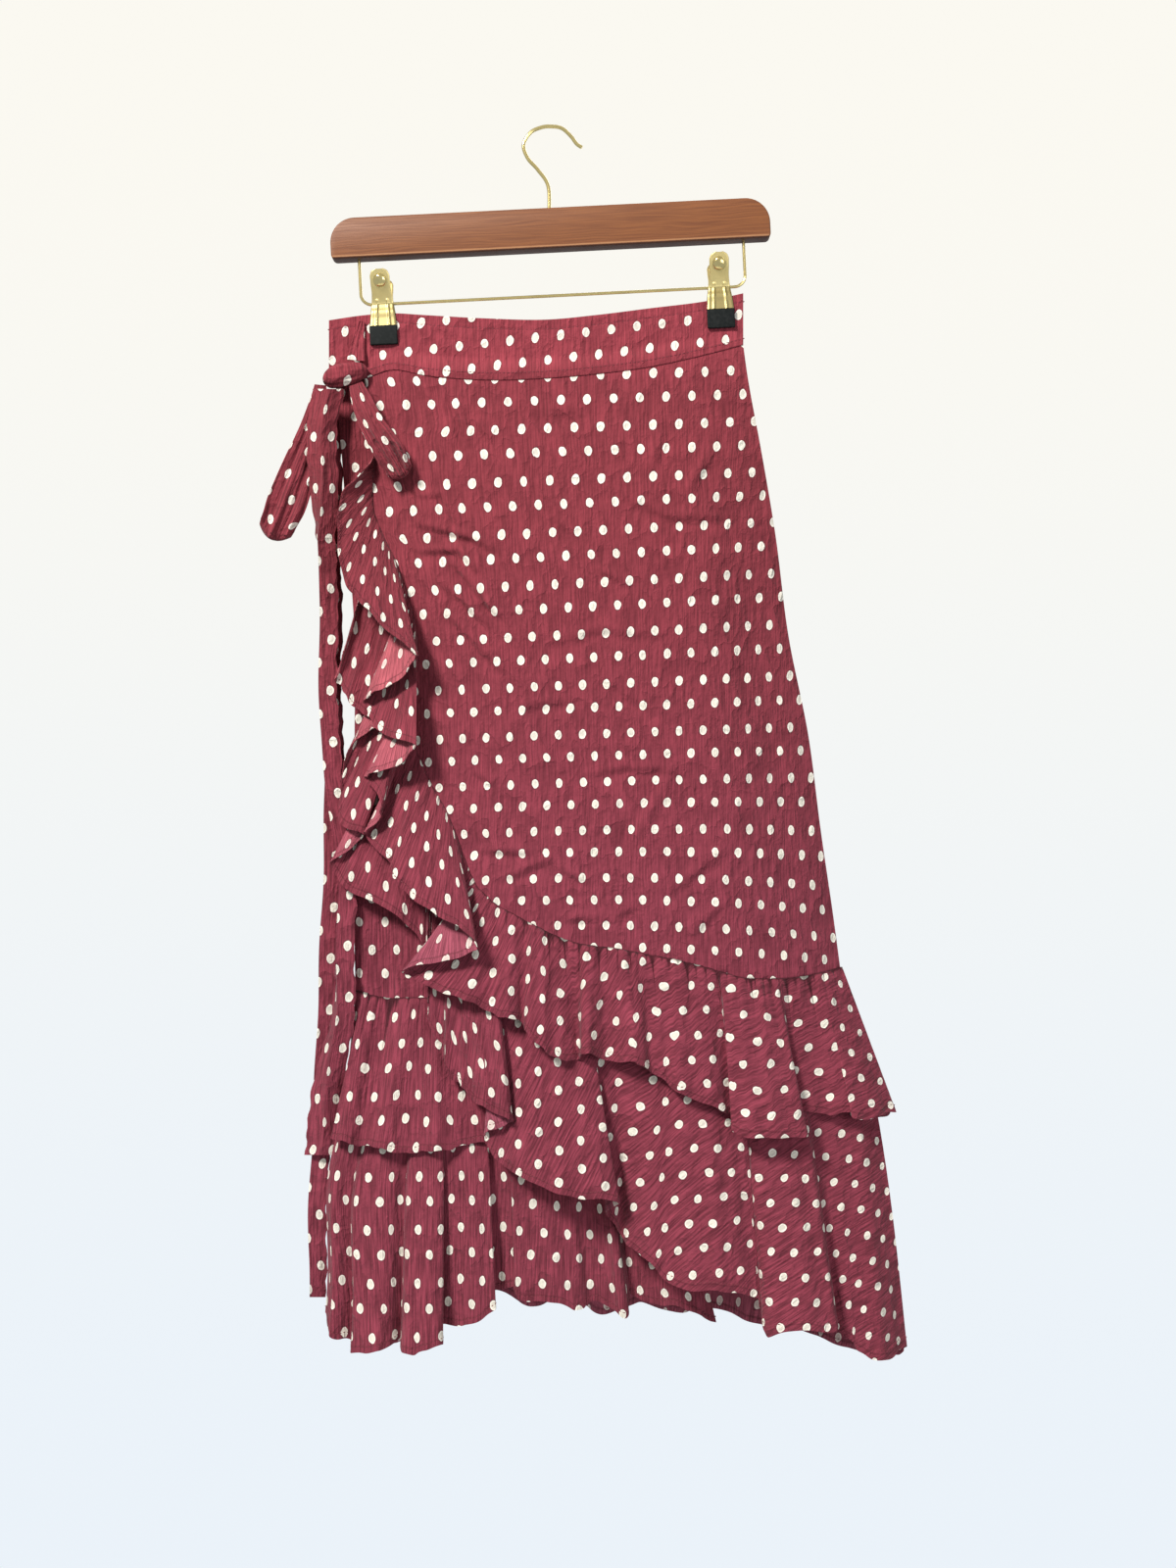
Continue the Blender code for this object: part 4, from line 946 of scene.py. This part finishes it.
TAILS = {
    "tie-tail-front": (
        # z,     x,     y, turn, open
        (-212.8, -181, -17, 33, 114),
        (-245, -186, -20.5, 36, 108),
        (-288, -186, -20.5, 34, 104),
        (-318, -184, -14, 25, 86),
        (-352, -181.5, -5, 12, 60),
        (-386, -181.5, -1, 4, 40),
        (-420, -181.5, 0.5, 0, 30),
        (-520, -178.5, 1.5, 0, 34),
        (-600, -167.0, 1.0, 0, 70),
        (-660, -167.0, 0.0, 0, 84),
        (-722, -169.6, 0.0, 8, 96),
        (-765, -178, 2, 18, 110),
        (-800, -184, 3, 26, 124),
        (-838, -188, 3, 25, 130),
    ),
    "tie-tail-back": (
        # z,     x,     y, turn, open
        (-219, -178, 6, 0, 22),
        (-300, -178, 6.5, 0, 22),
        (-420, -178, 8.5, 0, 22),
        (-560, -177, 10, 0, 22),
        (-700, -182, 14, 0, 24),
        (-800, -186, 16, 0, 40),
        (-880, -189.8, 12.5, 0, 50),
        (-954, -190.5, 8, 30, 50),
    ),
}
TAIL_ROWS = 170
TAIL_COLUMNS = 25


def ribbon_grid(middle, across, half, columns):
    """Points of a ribbon from its middle line, the direction across it and its half width."""
    offsets = np.linspace(-1, 1, columns)[None, :, None]
    return middle[:, None, :] + across[:, None, :] * half[:, None, None] * offsets


def across_of(x, z):
    """The direction square to a path in the plane of the front."""
    run = np.stack([np.gradient(x), np.zeros_like(x), np.gradient(z)], axis=-1)
    run /= np.linalg.norm(run, axis=-1, keepdims=True)
    return np.stack([-run[:, 2], run[:, 1], run[:, 0]], axis=-1)


def crushed(grid, deep):
    """Lengthwise pleats of a bunched ribbon, `deep` millimetres high at each place along it."""
    offsets = np.linspace(-1, 1, grid.shape[1])[None, :]
    along = np.arange(len(grid))[:, None] / len(grid)
    pleat = np.sin(7.5 * offsets + 2.2 * np.sin(3 * along) + 0.6)
    pleat += 0.5 * np.sin(15 * offsets - 5 * along)
    grid[..., 1] -= deep[:, None] * pleat
    return grid


def sewn_ribbon(name, grid, start, flat, flat_half=RIBBON_HALF):
    """A ribbon from its points in millimetres, its print on its full flat width at every place."""
    columns = grid.shape[1]
    v = run_down(grid[:, columns // 2:columns // 2 + 1]) * MM + start[1]
    u = np.linspace(-1, 1, columns)[None, :] * flat_half * MM + start[0]
    shaped = placed(grid[..., 0], grid[..., 1], grid[..., 2])
    piece, _, _ = sewn_cloth(name, shaped, RIBBON_WALL, u, v, cloth=crinkled_cloth)
    own(piece)


x, z, y, half = smooth(STRAP, np.linspace(0, STRAP[-1][0], 40))
middle = np.stack([x, y, z], axis=-1)
grid = crushed(ribbon_grid(middle, across_of(x, z), half, 17), 0.5 + 0 * half)
sewn_ribbon("tie-strap", grid, (0.003, 0.009), (0.012, 0.028),
            STRAP[2][4])

for name, table in LOOPS.items():
    rounded, narrowed = LOOP_ENDS[name]
    last = table[-1][0]
    out = np.linspace(0, last, LOOP_ROWS)
    turn = np.linspace(0, np.pi, LOOP_TURN_ROWS + 2)[1:-1]
    x, z, front, back, half = smooth(table, out)
    heading = np.array([np.gradient(x)[-1], np.gradient(z)[-1]])
    heading /= np.linalg.norm(heading)
    reach = (front[-1] - back[-1]) / -2
    turn_x = x[-1] + heading[0] * reach * np.sin(turn)
    turn_z = z[-1] + heading[1] * reach * np.sin(turn)
    turn_y = (front[-1] + back[-1]) / 2 - reach * np.cos(turn)
    across = across_of(x, z)
    middle = np.concatenate([
        np.stack([x, front, z], axis=-1),
        np.stack([turn_x, turn_y, turn_z], axis=-1),
        np.stack([x, back, z], axis=-1)[::-1],
    ])
    across = np.concatenate([across, np.repeat(across[-1:], len(turn), 0), across[::-1]])
    half = half * (1 - narrowed * eased((out - last + 1.2) / 1.2))
    at_turn = table[-1][5] * (1 - narrowed - 0.06 * np.sin(turn))
    grid = ribbon_grid(middle, across, np.concatenate([half, at_turn, half[::-1]]), LOOP_COLUMNS)
    square = np.linspace(-1, 1, LOOP_COLUMNS)[None, :] ** 2
    near_end = eased((out - last + 1.1) / 1.1)
    near_end = np.concatenate([near_end, np.ones(len(turn)), near_end[::-1]])[:, None]
    grid[..., 0] -= heading[0] * rounded * square * near_end
    grid[..., 2] -= heading[1] * rounded * square * near_end
    at_front = np.arange(len(grid)) < len(out)
    grid[..., 1] -= at_front[:, None] * LOOP_CROWN * (1 - square)
    grid = crushed(grid, np.where(at_front, 1.9, 0.6) * eased(np.arange(len(grid)) / 60))
    length = float(np.sum(np.linalg.norm(np.diff(middle, axis=0), axis=-1))) * MM
    sewn_ribbon(name, grid, (0.008, 0.006), (0.029, length))

for name, table in TAILS.items():
    top, bottom = table[0][0], table[-1][0]
    z = np.linspace(top, bottom, TAIL_ROWS)
    x, y, turn, spread = smooth(table, z)
    turn, spread = np.radians(turn), np.radians(spread)
    leg = np.linspace(-1, 1, TAIL_COLUMNS)
    reach = RIBBON_HALF * (np.sqrt(leg**2 + 0.02) - math.sqrt(0.02))
    angle = turn[:, None] + np.where(leg > 0, spread[:, None], 0)
    across, deep = (value - (value.max(axis=1, keepdims=True) + value.min(axis=1, keepdims=True)) / 2
                    for value in (reach * np.cos(angle), reach * np.sin(angle)))
    ruffle = 0.6 * np.sin(z / 2.7 + 2 * np.sin(z / 19)) + 0.5 * np.sin(z / 5.1 + 1)
    across = across + 0.7 * np.sin(z / 17)[:, None] + ruffle[:, None] * np.abs(leg) ** 3
    deep = deep + 0.4 * np.sin(z / 4.3)[:, None] * leg
    grid = np.stack([x[:, None] + across, y[:, None] + deep, z[:, None] + 0 * across], axis=-1)
    grid = grid[:, ::-1] if across[60, 0] > across[60, -1] else grid
    sewn_ribbon(name, grid, (0.010, 0.002), (0.036, (top - bottom) * MM))

knot = bmesh.new()
bmesh.ops.create_uvsphere(knot, u_segments=48, v_segments=36, radius=0.5)
for vertex in knot.verts:
    along, around = vertex.co.x, math.atan2(vertex.co.z, vertex.co.y)
    pleat = 1 + 0.05 * math.sin(6 * around + 5 * along) + 0.025 * math.sin(13 * around - 4 * along)
    pleat *= 1 - 0.10 * math.sin(5 * along + 1)
    vertex.co.x *= KNOT_SIZE[0]
    vertex.co.y *= KNOT_SIZE[1] * pleat
    vertex.co.z = vertex.co.z * KNOT_SIZE[2] * pleat + KNOT_LEAN * vertex.co.x
layers = knot.loops.layers.uv
for layer in ("cloth", "edges"):
    layers.new(layer)
cloth_layer, edges_layer = layers["cloth"], layers["edges"]
for face in knot.faces:
    for corner in face.loops:
        spot = corner.vert.co
        corner[cloth_layer].uv = (spot.x * MM + spot.y * 0.0006, spot.z * MM + 0.006)
        corner[edges_layer].uv = (FAR, FAR)
mesh = bpy.data.meshes.new("tie-knot")
knot.to_mesh(mesh)
knot.free()
mesh.transform(Matrix.Scale(MM, 4))
mesh.transform(Matrix.Translation(placed(*np.array(KNOT_CENTRE)).tolist()))
mesh.materials.append(crinkled_cloth[0])
mesh.shade_smooth()
tie_knot = added("tie-knot", mesh)
own(tie_knot)

# ---------------------------------------------------------------- stitching
# Lockstitch in matching thread: along the waistband's top and its welt, and round every rolled hem.
# A stitch shows about two millimetres long, lightly sunk into the cloth.
STITCH_SIZES = {"Pitch": 0.0034, "Length": 0.0023, "Thread radius": 0.00032}
thread, tree, shader = surface("matching thread", {"Roughness": 0.6})
twist = noise(in_object(tree), 900.0)
feed(shader, {"Base Color": blended(twist, (0.13, 0.018, 0.03), (0.24, 0.04, 0.055))})


def thread_tree():
    """Stitches along the edges of a mesh of lines."""
    tree = bpy.data.node_groups.new("stitches", "GeometryNodeTree")
    tree.interface.new_socket("Lines", in_out="INPUT", socket_type="NodeSocketGeometry")
    for label in STITCH_SIZES:
        tree.interface.new_socket(label, in_out="INPUT", socket_type="NodeSocketFloat")
    tree.interface.new_socket("Stitches", in_out="OUTPUT", socket_type="NodeSocketGeometry")
    given = tree.nodes.new("NodeGroupInput")
    lines, pitch, length, radius = (Signal(tree, socket) for socket in list(given.outputs)[:4])
    curve = wired(tree, "GeometryNodeMeshToCurve", {"Mesh": lines})
    spaced = wired(tree, "GeometryNodeResampleCurve", {"Curve": curve, "Length": pitch}, mode="LENGTH")
    turn = wired(tree, "FunctionNodeAlignRotationToVector",
                 {"Vector": wired(tree, "GeometryNodeInputTangent")}, axis="Z")
    ball = wired(tree, "GeometryNodeMeshUVSphere", {"Segments": 5, "Rings": 4, "Radius": 1.0})
    size = wired(tree, "ShaderNodeCombineXYZ", {0: radius, 1: radius, 2: length * 0.5})
    stitch = wired(tree, "GeometryNodeTransform", {"Geometry": ball, "Scale": size})
    sewn = wired(tree, "GeometryNodeInstanceOnPoints",
                 {"Points": spaced, "Instance": stitch, "Rotation": turn})
    sewn = wired(tree, "GeometryNodeRealizeInstances", {"Geometry": sewn})
    sewn = wired(tree, "GeometryNodeSetMaterial", {"Geometry": sewn, "Material": thread})
    feed(tree.nodes.new("NodeGroupOutput"), {"Stitches": sewn})
    return tree


points, edges = [], []
for line in sewn_lines:
    first = len(points)
    points += line.tolist()
    edges += [(number, number + 1) for number in range(first, len(points) - 1)]
mesh = bpy.data.meshes.new("seam lines")
mesh.from_pydata(points, edges, [])
lines = added("seam lines", mesh)
modifier = lines.modifiers.new("made", "NODES")
modifier.node_group = thread_tree()
for item in modifier.node_group.interface.items_tree:
    if item.name in STITCH_SIZES:
        modifier[item.identifier] = STITCH_SIZES[item.name]
made = bpy.data.meshes.new_from_object(lines.evaluated_get(bpy.context.evaluated_depsgraph_get()))
made.name = "stitching"
bpy.data.objects.remove(lines)
made.shade_smooth()
stitching = added("stitching", made)
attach(stitching, "root")

# ---------------------------------------------------------------- hanger bar
# A flat bar of hardwood, stained red-brown and lacquered, with rounded upper corners and eased edges
# that are paler along the foot, and painted shade on its underside. It hangs a little lower on the
# left.
TILT = math.radians(2.85)
BAR_CENTRE = (-0.4, -83.4)
BAR_LENGTH = 358.0
BAR_HEIGHT = 33.0
BAR_THICKNESS = 13.0
BAR_TOP_RADIUS = 20.0
BAR_BOTTOM_RADIUS = 4.0
BAR_EDGE = 1.4


def tilted(x, z):
    """Hanger's own x and z, from the middle of its bar, to the object's."""
    return (
        BAR_CENTRE[0] + x * math.cos(TILT) - z * math.sin(TILT),
        BAR_CENTRE[1] + x * math.sin(TILT) + z * math.cos(TILT),
    )


def corner_arc(x, z, radius, start, steps):
    """A quarter of a circle from an angle in degrees."""
    angles = np.radians(np.linspace(start, start + 90, steps))
    return [(x + radius * math.cos(a), z + radius * math.sin(a)) for a in angles]


def stained_wood():
    """Hardwood with its grain along the bar, paler near the foot's edge, with painted shade below it.
    """
    material, tree, shader = surface("stained hardwood", {
        "Specular IOR Level": 0.35, "Coat Weight": 0.05, "Coat Roughness": 0.35})
    along, up = (length * (1 / MM) for length in lengths_of(tree, "bar"))
    wander = mottled(along, up, (0.012, 0.05))
    grain = mottled(along, wander.through("MULTIPLY_ADD", 9.0, up), (0.02, 0.9), 5.0)
    pores = mottled(along, up, (0.10, 3.2))
    # Paler along the foot's front edge.
    pale_foot_edge = pores.through("MULTIPLY_ADD", 0.9, (up + 14.6).through("ABSOLUTE"))
    colour = blended(grain.stepped(0.32, 0.68), (0.150, 0.046, 0.014), (0.225, 0.078, 0.024))
    colour = blended(pores.stepped(0.60, 0.72, 0.0, 0.25), colour, (0.08, 0.026, 0.010))
    colour = blended(pale_foot_edge.stepped(0.6, 1.5, 0.75, 0.0), colour, (0.45, 0.22, 0.10))
    # Painted shade: the underside is darker.
    colour = blended(up.stepped(-15.6, -14.9, 0.85, 0.0), colour, (0.045, 0.014, 0.008))
    feed(shader, {"Base Color": colour, "Roughness": grain.stepped(0.3, 0.7, 0.55, 0.46)})
    raised(shader, pores.through("MULTIPLY_ADD", -0.6, grain), 0.00006)
    return material


outline = []
for across, up, radius, start, steps in (
    (1, 1, BAR_TOP_RADIUS, 0, 20),
    (-1, 1, BAR_TOP_RADIUS, 90, 20),
    (-1, -1, BAR_BOTTOM_RADIUS, 180, 8),
    (1, -1, BAR_BOTTOM_RADIUS, 270, 8),
):
    outline += corner_arc(across * (BAR_LENGTH / 2 - radius), up * (BAR_HEIGHT / 2 - radius),
                          radius, start, steps)
bar = bmesh.new()
ring = [bar.verts.new((x * MM, -BAR_THICKNESS / 2 * MM, z * MM)) for x, z in outline]
grown = bmesh.ops.extrude_face_region(bar, geom=[bar.faces.new(ring)])["geom"]
moved = [item for item in grown if isinstance(item, bmesh.types.BMVert)]
bmesh.ops.translate(bar, verts=moved, vec=(0, BAR_THICKNESS * MM, 0))
bmesh.ops.recalc_face_normals(bar, faces=bar.faces)
sharp = [edge for edge in bar.edges if edge.calc_face_angle(0) > math.radians(60)]
bmesh.ops.bevel(bar, geom=sharp, offset=BAR_EDGE * MM, segments=4, profile=0.5, affect="EDGES")
lengths = bar.loops.layers.uv.new("bar")
for face in bar.faces:
    for corner in face.loops:
        corner[lengths].uv = (corner.vert.co.x, corner.vert.co.z)
mesh = bpy.data.meshes.new("hanger-bar")
bar.to_mesh(mesh)
bar.free()
middle = Matrix.Translation((BAR_CENTRE[0] * MM, 0, BAR_CENTRE[1] * MM))
mesh.transform(middle @ Matrix.Rotation(-TILT, 4, "Y"))
mesh.materials.append(stained_wood())
rounded_off(mesh, 30)
own(added("hanger-bar", mesh))

# ---------------------------------------------------------------- hook and clip rail
# Both are bent from wire with a pale brass finish. The hook goes into the top of the bar, and the
# rail's two legs go into its underside and carry the clips.
HOOK_RADIUS = 1.5
RAIL_RADIUS = 1.25
RAIL_HALF = 157.0
RAIL_DROP = 53.4
RAIL_CORNER = 9.0
INTO_BAR = 1.0


def pale_brass(name, roughness, clean=(0.80, 0.66, 0.30), tarnished=(0.70, 0.57, 0.25)):
    """Brass with a faint, patchy tarnish."""
    material, tree, shader = surface(name, {"Metallic": 1.0})
    tarnish = noise(in_object(tree), 60.0)
    feed(shader, {"Base Color": blended(tarnish.stepped(0.35, 0.7), clean, tarnished),
                  "Roughness": tarnish.stepped(0.3, 0.7, roughness, roughness + 0.05)})
    raised(shader, noise(in_object(tree), 1500.0), 0.000001)
    return material


def ring_faces(rings, count):
    """Faces between rings of `count` points each."""
    return [(low + c, low + (c + 1) % count, low + count + (c + 1) % count, low + count + c)
            for low in range(0, (rings - 1) * count, count) for c in range(count)]


def wire(path, radius):
    """A bent wire of round section along x and z places, in the hanger's plane, with closed ends."""
    path = np.array(path, float)
    run = np.gradient(path, axis=0)
    run /= np.linalg.norm(run, axis=1, keepdims=True)
    side = np.stack([-run[:, 1], run[:, 0]], axis=1)
    around = np.linspace(0, 2 * np.pi, 17)[:-1]
    rings = [[(*(spot + out * radius * math.cos(a)), radius * math.sin(a)) for a in around]
             for spot, out in zip(path, side)]
    count = len(around)
    points = [(x * MM, y * MM, z * MM) for ring in rings for x, z, y in ring]
    ends = [tuple(range(count)), tuple(range((len(rings) - 1) * count, len(rings) * count))]
    return points, ring_faces(len(rings), count) + ends


def hard_piece(name, points, faces, material, slot="brass"):
    """A piece of the hanger, with its faces turned outwards."""
    mesh = bpy.data.meshes.new(name)
    mesh.from_pydata(np.array(points, float).tolist(), [], [list(map(int, face)) for face in faces])
    shape = bmesh.new()
    shape.from_mesh(mesh)
    bmesh.ops.recalc_face_normals(shape, faces=shape.faces)
    shape.to_mesh(mesh)
    shape.free()
    mesh.materials.append(material)
    rounded_off(mesh, 50)
    piece = added(name, mesh)
    own(piece)
    return piece


bright_brass = pale_brass("bright brass wire", 0.16)
bends = (
    # at, x, z
    (0, *tilted(0, BAR_HEIGHT / 2 - INTO_BAR)),
    (1, -2.2, -47),
    (2, -10.5, -34),
    (3, -18.8, -24.5),
    (4, -22.2, -13.5),
    (5, -16.5, -3.6),
    (6, -8, 0.6),
    (7, 0, 1.5),
    (8, 9, 0),
    (9, 16.5, -6.6),
    (10, 21, -12.6),
    (11, 25.5, -15.8),
)
x, z = smooth(bends, np.linspace(0, bends[-1][0], 120))
hard_piece("hanger-hook", *wire(list(zip(x, z)), HOOK_RADIUS), bright_brass)

top = -BAR_HEIGHT / 2 + INTO_BAR
centre = RAIL_HALF - RAIL_CORNER
low = RAIL_CORNER - RAIL_DROP
legs = ([(-RAIL_HALF, top)] + corner_arc(-centre, low, RAIL_CORNER, 180, 14)
        + corner_arc(centre, low, RAIL_CORNER, 270, 14) + [(RAIL_HALF, top)])
hard_piece("hanger-rail", *wire([tilted(*spot) for spot in legs], RAIL_RADIUS), bright_brass)

# ---------------------------------------------------------------- clips
# Each clip is two stamped brass plates, one on either side of the rail, with two pressed ribs and a
# domed rivet each. They spread at their finger ends, and black rubber pads grip the waistband.
CLIP_X = (-139.5, 135.2)
CLIP_WALL = 1.0
RIVET_DROP = 37.4
RIVET_RADIUS = 5.6
RIVET_HEIGHT = 2.6
PAD_SIZE = (22.5, 2.8, 15.4)
PAD_TOP = 72.3
PAD_INSIDE = 3.0
RIB_RISE = 0.7
RIB_HALF = 0.75
RIB_TOP = 50.0
RIB_PLACES = (-0.5, 0.5)
RIVET_DOME = 5.0
RIVET_FLANGE = 0.5
CLIP_PLATE = (
    # drop, half width, half spread between the two plates
    (29.2, 2.6, 14.6),
    (30.1, 5.0, 14.2),
    (32.4, 7.0, 13.2),
    (37.4, 7.6, 11.0),
    (46.0, 7.6, 6.0),
    (50.2, 8.1, 3.4),
    (53.4, 8.6, 2.05),
    (57.0, 9.0, 2.5),
    (60.0, 9.4, 3.6),
    (66.0, 10.0, 3.9),
    (72.0, 10.6, 4.4),
)
plate_brass = pale_brass("stamped brass plate", 0.46)
# Painted shade: the plates below the rail take a darker brass.
painted_shade_brass = pale_brass("brass with painted shade", 0.40, (0.40, 0.33, 0.15), (0.33, 0.27, 0.12))
rivet_metal = pale_brass("polished rivet", 0.12)
rubber, tree, shader = surface("black rubber", {"Specular IOR Level": 0.12})
dust = noise(in_object(tree), 420.0, 4.0)
feed(shader, {
    "Base Color": blended(dust.stepped(0.4, 0.75), (0.005, 0.007, 0.007), (0.014, 0.016, 0.016)),
    "Roughness": dust.stepped(0.3, 0.7, 0.48, 0.66),
})
raised(shader, dust, 0.00003)


def plate_shell(clip_x, side):
    """A stamped plate with a rolled outline and two ribs from its rivet down to its pad."""
    drops = np.linspace(CLIP_PLATE[0][0], CLIP_PLATE[-1][0], 90)
    half, spread = smooth(CLIP_PLATE, drops)
    drop, half, spread = drops[:, None], half[:, None], spread[:, None]
    offsets = np.linspace(-1, 1, 41)[None, :]
    ribs = sum(np.exp(-(((offsets - place) * half / RIB_HALF) ** 2)) for place in RIB_PLACES)
    ribs = ribs * eased((drop - RIB_TOP) / 1.6) * eased((74 - drop) / 2)
    dots = sum(np.exp(-((((offsets - place) * half) ** 2 + (drop - RIB_TOP - 1) ** 2) / 1.1))
               for place in RIB_PLACES)
    lip = np.clip((np.abs(offsets) - 0.9) / 0.1, 0, 1) ** 2 * 0.5
    x, z = tilted(clip_x + half * offsets, -drop)
    y = side * (spread + RIB_RISE * ribs + 0.5 * dots - lip)
    front, back, faces = shell(np.stack([x, y, z], axis=-1) * MM, CLIP_WALL)
    return np.concatenate([front, back]).reshape(-1, 3), faces


def rivet_head(clip_x, side):
    """A domed head with a small flat flange, seated on its plate."""
    profile = [(RIVET_RADIUS, 0.0), (RIVET_RADIUS, RIVET_FLANGE)]
    profile += [(RIVET_DOME * math.cos(a), 0.6 + (RIVET_HEIGHT - 0.6) * math.sin(a))
                for a in np.linspace(0, math.pi / 2, 12)[:-1]]
    count = 40
    points = [(r * math.cos(2 * math.pi * c / count), -h, r * math.sin(2 * math.pi * c / count))
              for r, h in profile for c in range(count)]
    points.append((0, -RIVET_HEIGHT, 0))
    last = (len(profile) - 1) * count
    faces = ring_faces(len(profile), count) + [tuple(range(count))]
    faces += [(last + c, last + (c + 1) % count, len(points) - 1) for c in range(count)]
    (_, _, high), (_, _, low) = CLIP_PLATE[2], CLIP_PLATE[4]
    lean = math.atan2(high - low, CLIP_PLATE[4][0] - CLIP_PLATE[2][0])
    out = Vector((0, -math.cos(lean), -math.sin(lean)))
    x, z = tilted(clip_x, -RIVET_DROP)
    place = Vector((x, -CLIP_PLATE[3][2], z)) + out * (CLIP_WALL / 2)
    turn = Matrix.Translation(place) @ Matrix.Rotation(-TILT, 4, "Y") @ Matrix.Rotation(lean, 4, "X")
    points = [turn @ Vector(spot) * MM for spot in points]
    return [(p.x, -p.y if side > 0 else p.y, p.z) for p in points], faces


def gripping_pad(clip_x, side):
    """A moulded pad with eased edges."""
    width, depth, height = PAD_SIZE
    shape = bmesh.new()
    bmesh.ops.create_cube(shape, size=1.0, matrix=Matrix.Diagonal((width, depth, height, 1)))
    bmesh.ops.bevel(shape, geom=list(shape.edges), offset=1.0, segments=5, profile=0.6, affect="EDGES")
    x, z = tilted(clip_x, -PAD_TOP - height / 2)
    turn = Matrix.Translation((x, side * (PAD_INSIDE + depth / 2), z)) @ Matrix.Rotation(-TILT, 4, "Y")
    points = [tuple(turn @ vertex.co * MM) for vertex in shape.verts]
    faces = [[vertex.index for vertex in face.verts] for face in shape.faces]
    shape.free()
    return points, faces


for place, clip_x in zip(("left", "right"), CLIP_X):
    for face, side in (("front", -1), ("back", 1)):
        plate = hard_piece(f"clip-{place}-plate-{face}", *plate_shell(clip_x, side), plate_brass)
        # The plates' faces below the rail take the darker brass of the painted shade.
        plate.data.materials.append(painted_shade_brass)
        for polygon in plate.data.polygons:
            x, _, z = np.array(polygon.center) / MM
            drop = (x - BAR_CENTRE[0]) * math.sin(TILT) - (z - BAR_CENTRE[1]) * math.cos(TILT)
            polygon.material_index = int(drop > RAIL_DROP)
        hard_piece(f"clip-{place}-rivet-{face}", *rivet_head(clip_x, side), rivet_metal)
        hard_piece(f"clip-{place}-pad-{face}", *gripping_pad(clip_x, side), rubber, "rubber")

# ---------------------------------------------------------------- how it is seen
# The hanger hangs clear of everything in a pale room, lit by two soft panels of light in front and
# a weak one behind. The camera stands where the photograph was taken, a pale floor lies well below.
CAMERA_PLACE = (0.0304, -1.25, -0.5352)
SENSOR_HEIGHT = 36.0
LENS = 35.16
FLOOR_MIDDLE = (0.03, 0.0, -1.75)
FLOOR_RADIUS = 1.05
LIT_PLACE = (0.02, 0, -0.5)
camera_data = bpy.data.cameras.new("camera")
camera_data.sensor_fit = "VERTICAL"
camera_data.sensor_height = SENSOR_HEIGHT
camera_data.lens = LENS
camera = added("camera", camera_data)
camera.location = CAMERA_PLACE
camera.rotation_euler = (math.pi / 2, 0, 0)
bpy.context.scene.camera = camera

floor_shape = bmesh.new()
bmesh.ops.create_circle(floor_shape, cap_ends=True, segments=96, radius=FLOOR_RADIUS)
floor_mesh = bpy.data.meshes.new("floor")
floor_shape.to_mesh(floor_mesh)
floor_shape.free()
floor_mesh.transform(Matrix.Translation(FLOOR_MIDDLE))
pale_floor, _, _ = surface("pale floor", {"Base Color": (0.80, 0.79, 0.77), "Roughness": 0.8})
floor_mesh.materials.append(pale_floor)
added("floor", floor_mesh)

for name, place, size, power, colour in (
    ("key", (-1.7, -2.5, 1.9), 0.7, 208, (1.0, 0.965, 0.92)),
    ("fill", (2.1, -2.8, -0.4), 2.0, 36, (0.93, 0.96, 1.0)),
    ("rim", (0.6, 1.6, 0.8), 1.2, 14, (1.0, 0.98, 0.95)),
):
    panel = bpy.data.lights.new(name, "AREA")
    panel.size = size
    panel.energy = power
    panel.color = colour
    lamp = added(name, panel)
    lamp.location = place
    lamp.rotation_euler = (Vector(LIT_PLACE) - Vector(place)).to_track_quat("-Z", "Y").to_euler()

world = bpy.data.worlds.new("pale room")
bpy.context.scene.world = world
world.use_nodes = True
tree = world.node_tree
height = wired(tree, "ShaderNodeTexCoord", output="Generated").parts()[2]
seen = wired(tree, "ShaderNodeLightPath", output="Is Camera Ray")
mirrored = wired(tree, "ShaderNodeLightPath", output="Is Glossy Ray").stepped(0.4, 0.6, 0.27, 0.62)
feed(tree.nodes["Background"], {
    "Color": blended(height.stepped(-0.45, 0.45), (0.83, 0.89, 0.95), (0.965, 0.945, 0.88)),
    "Strength": mirrored.through("MAXIMUM", seen),
})
bpy.context.scene.view_settings.view_transform = "Standard"
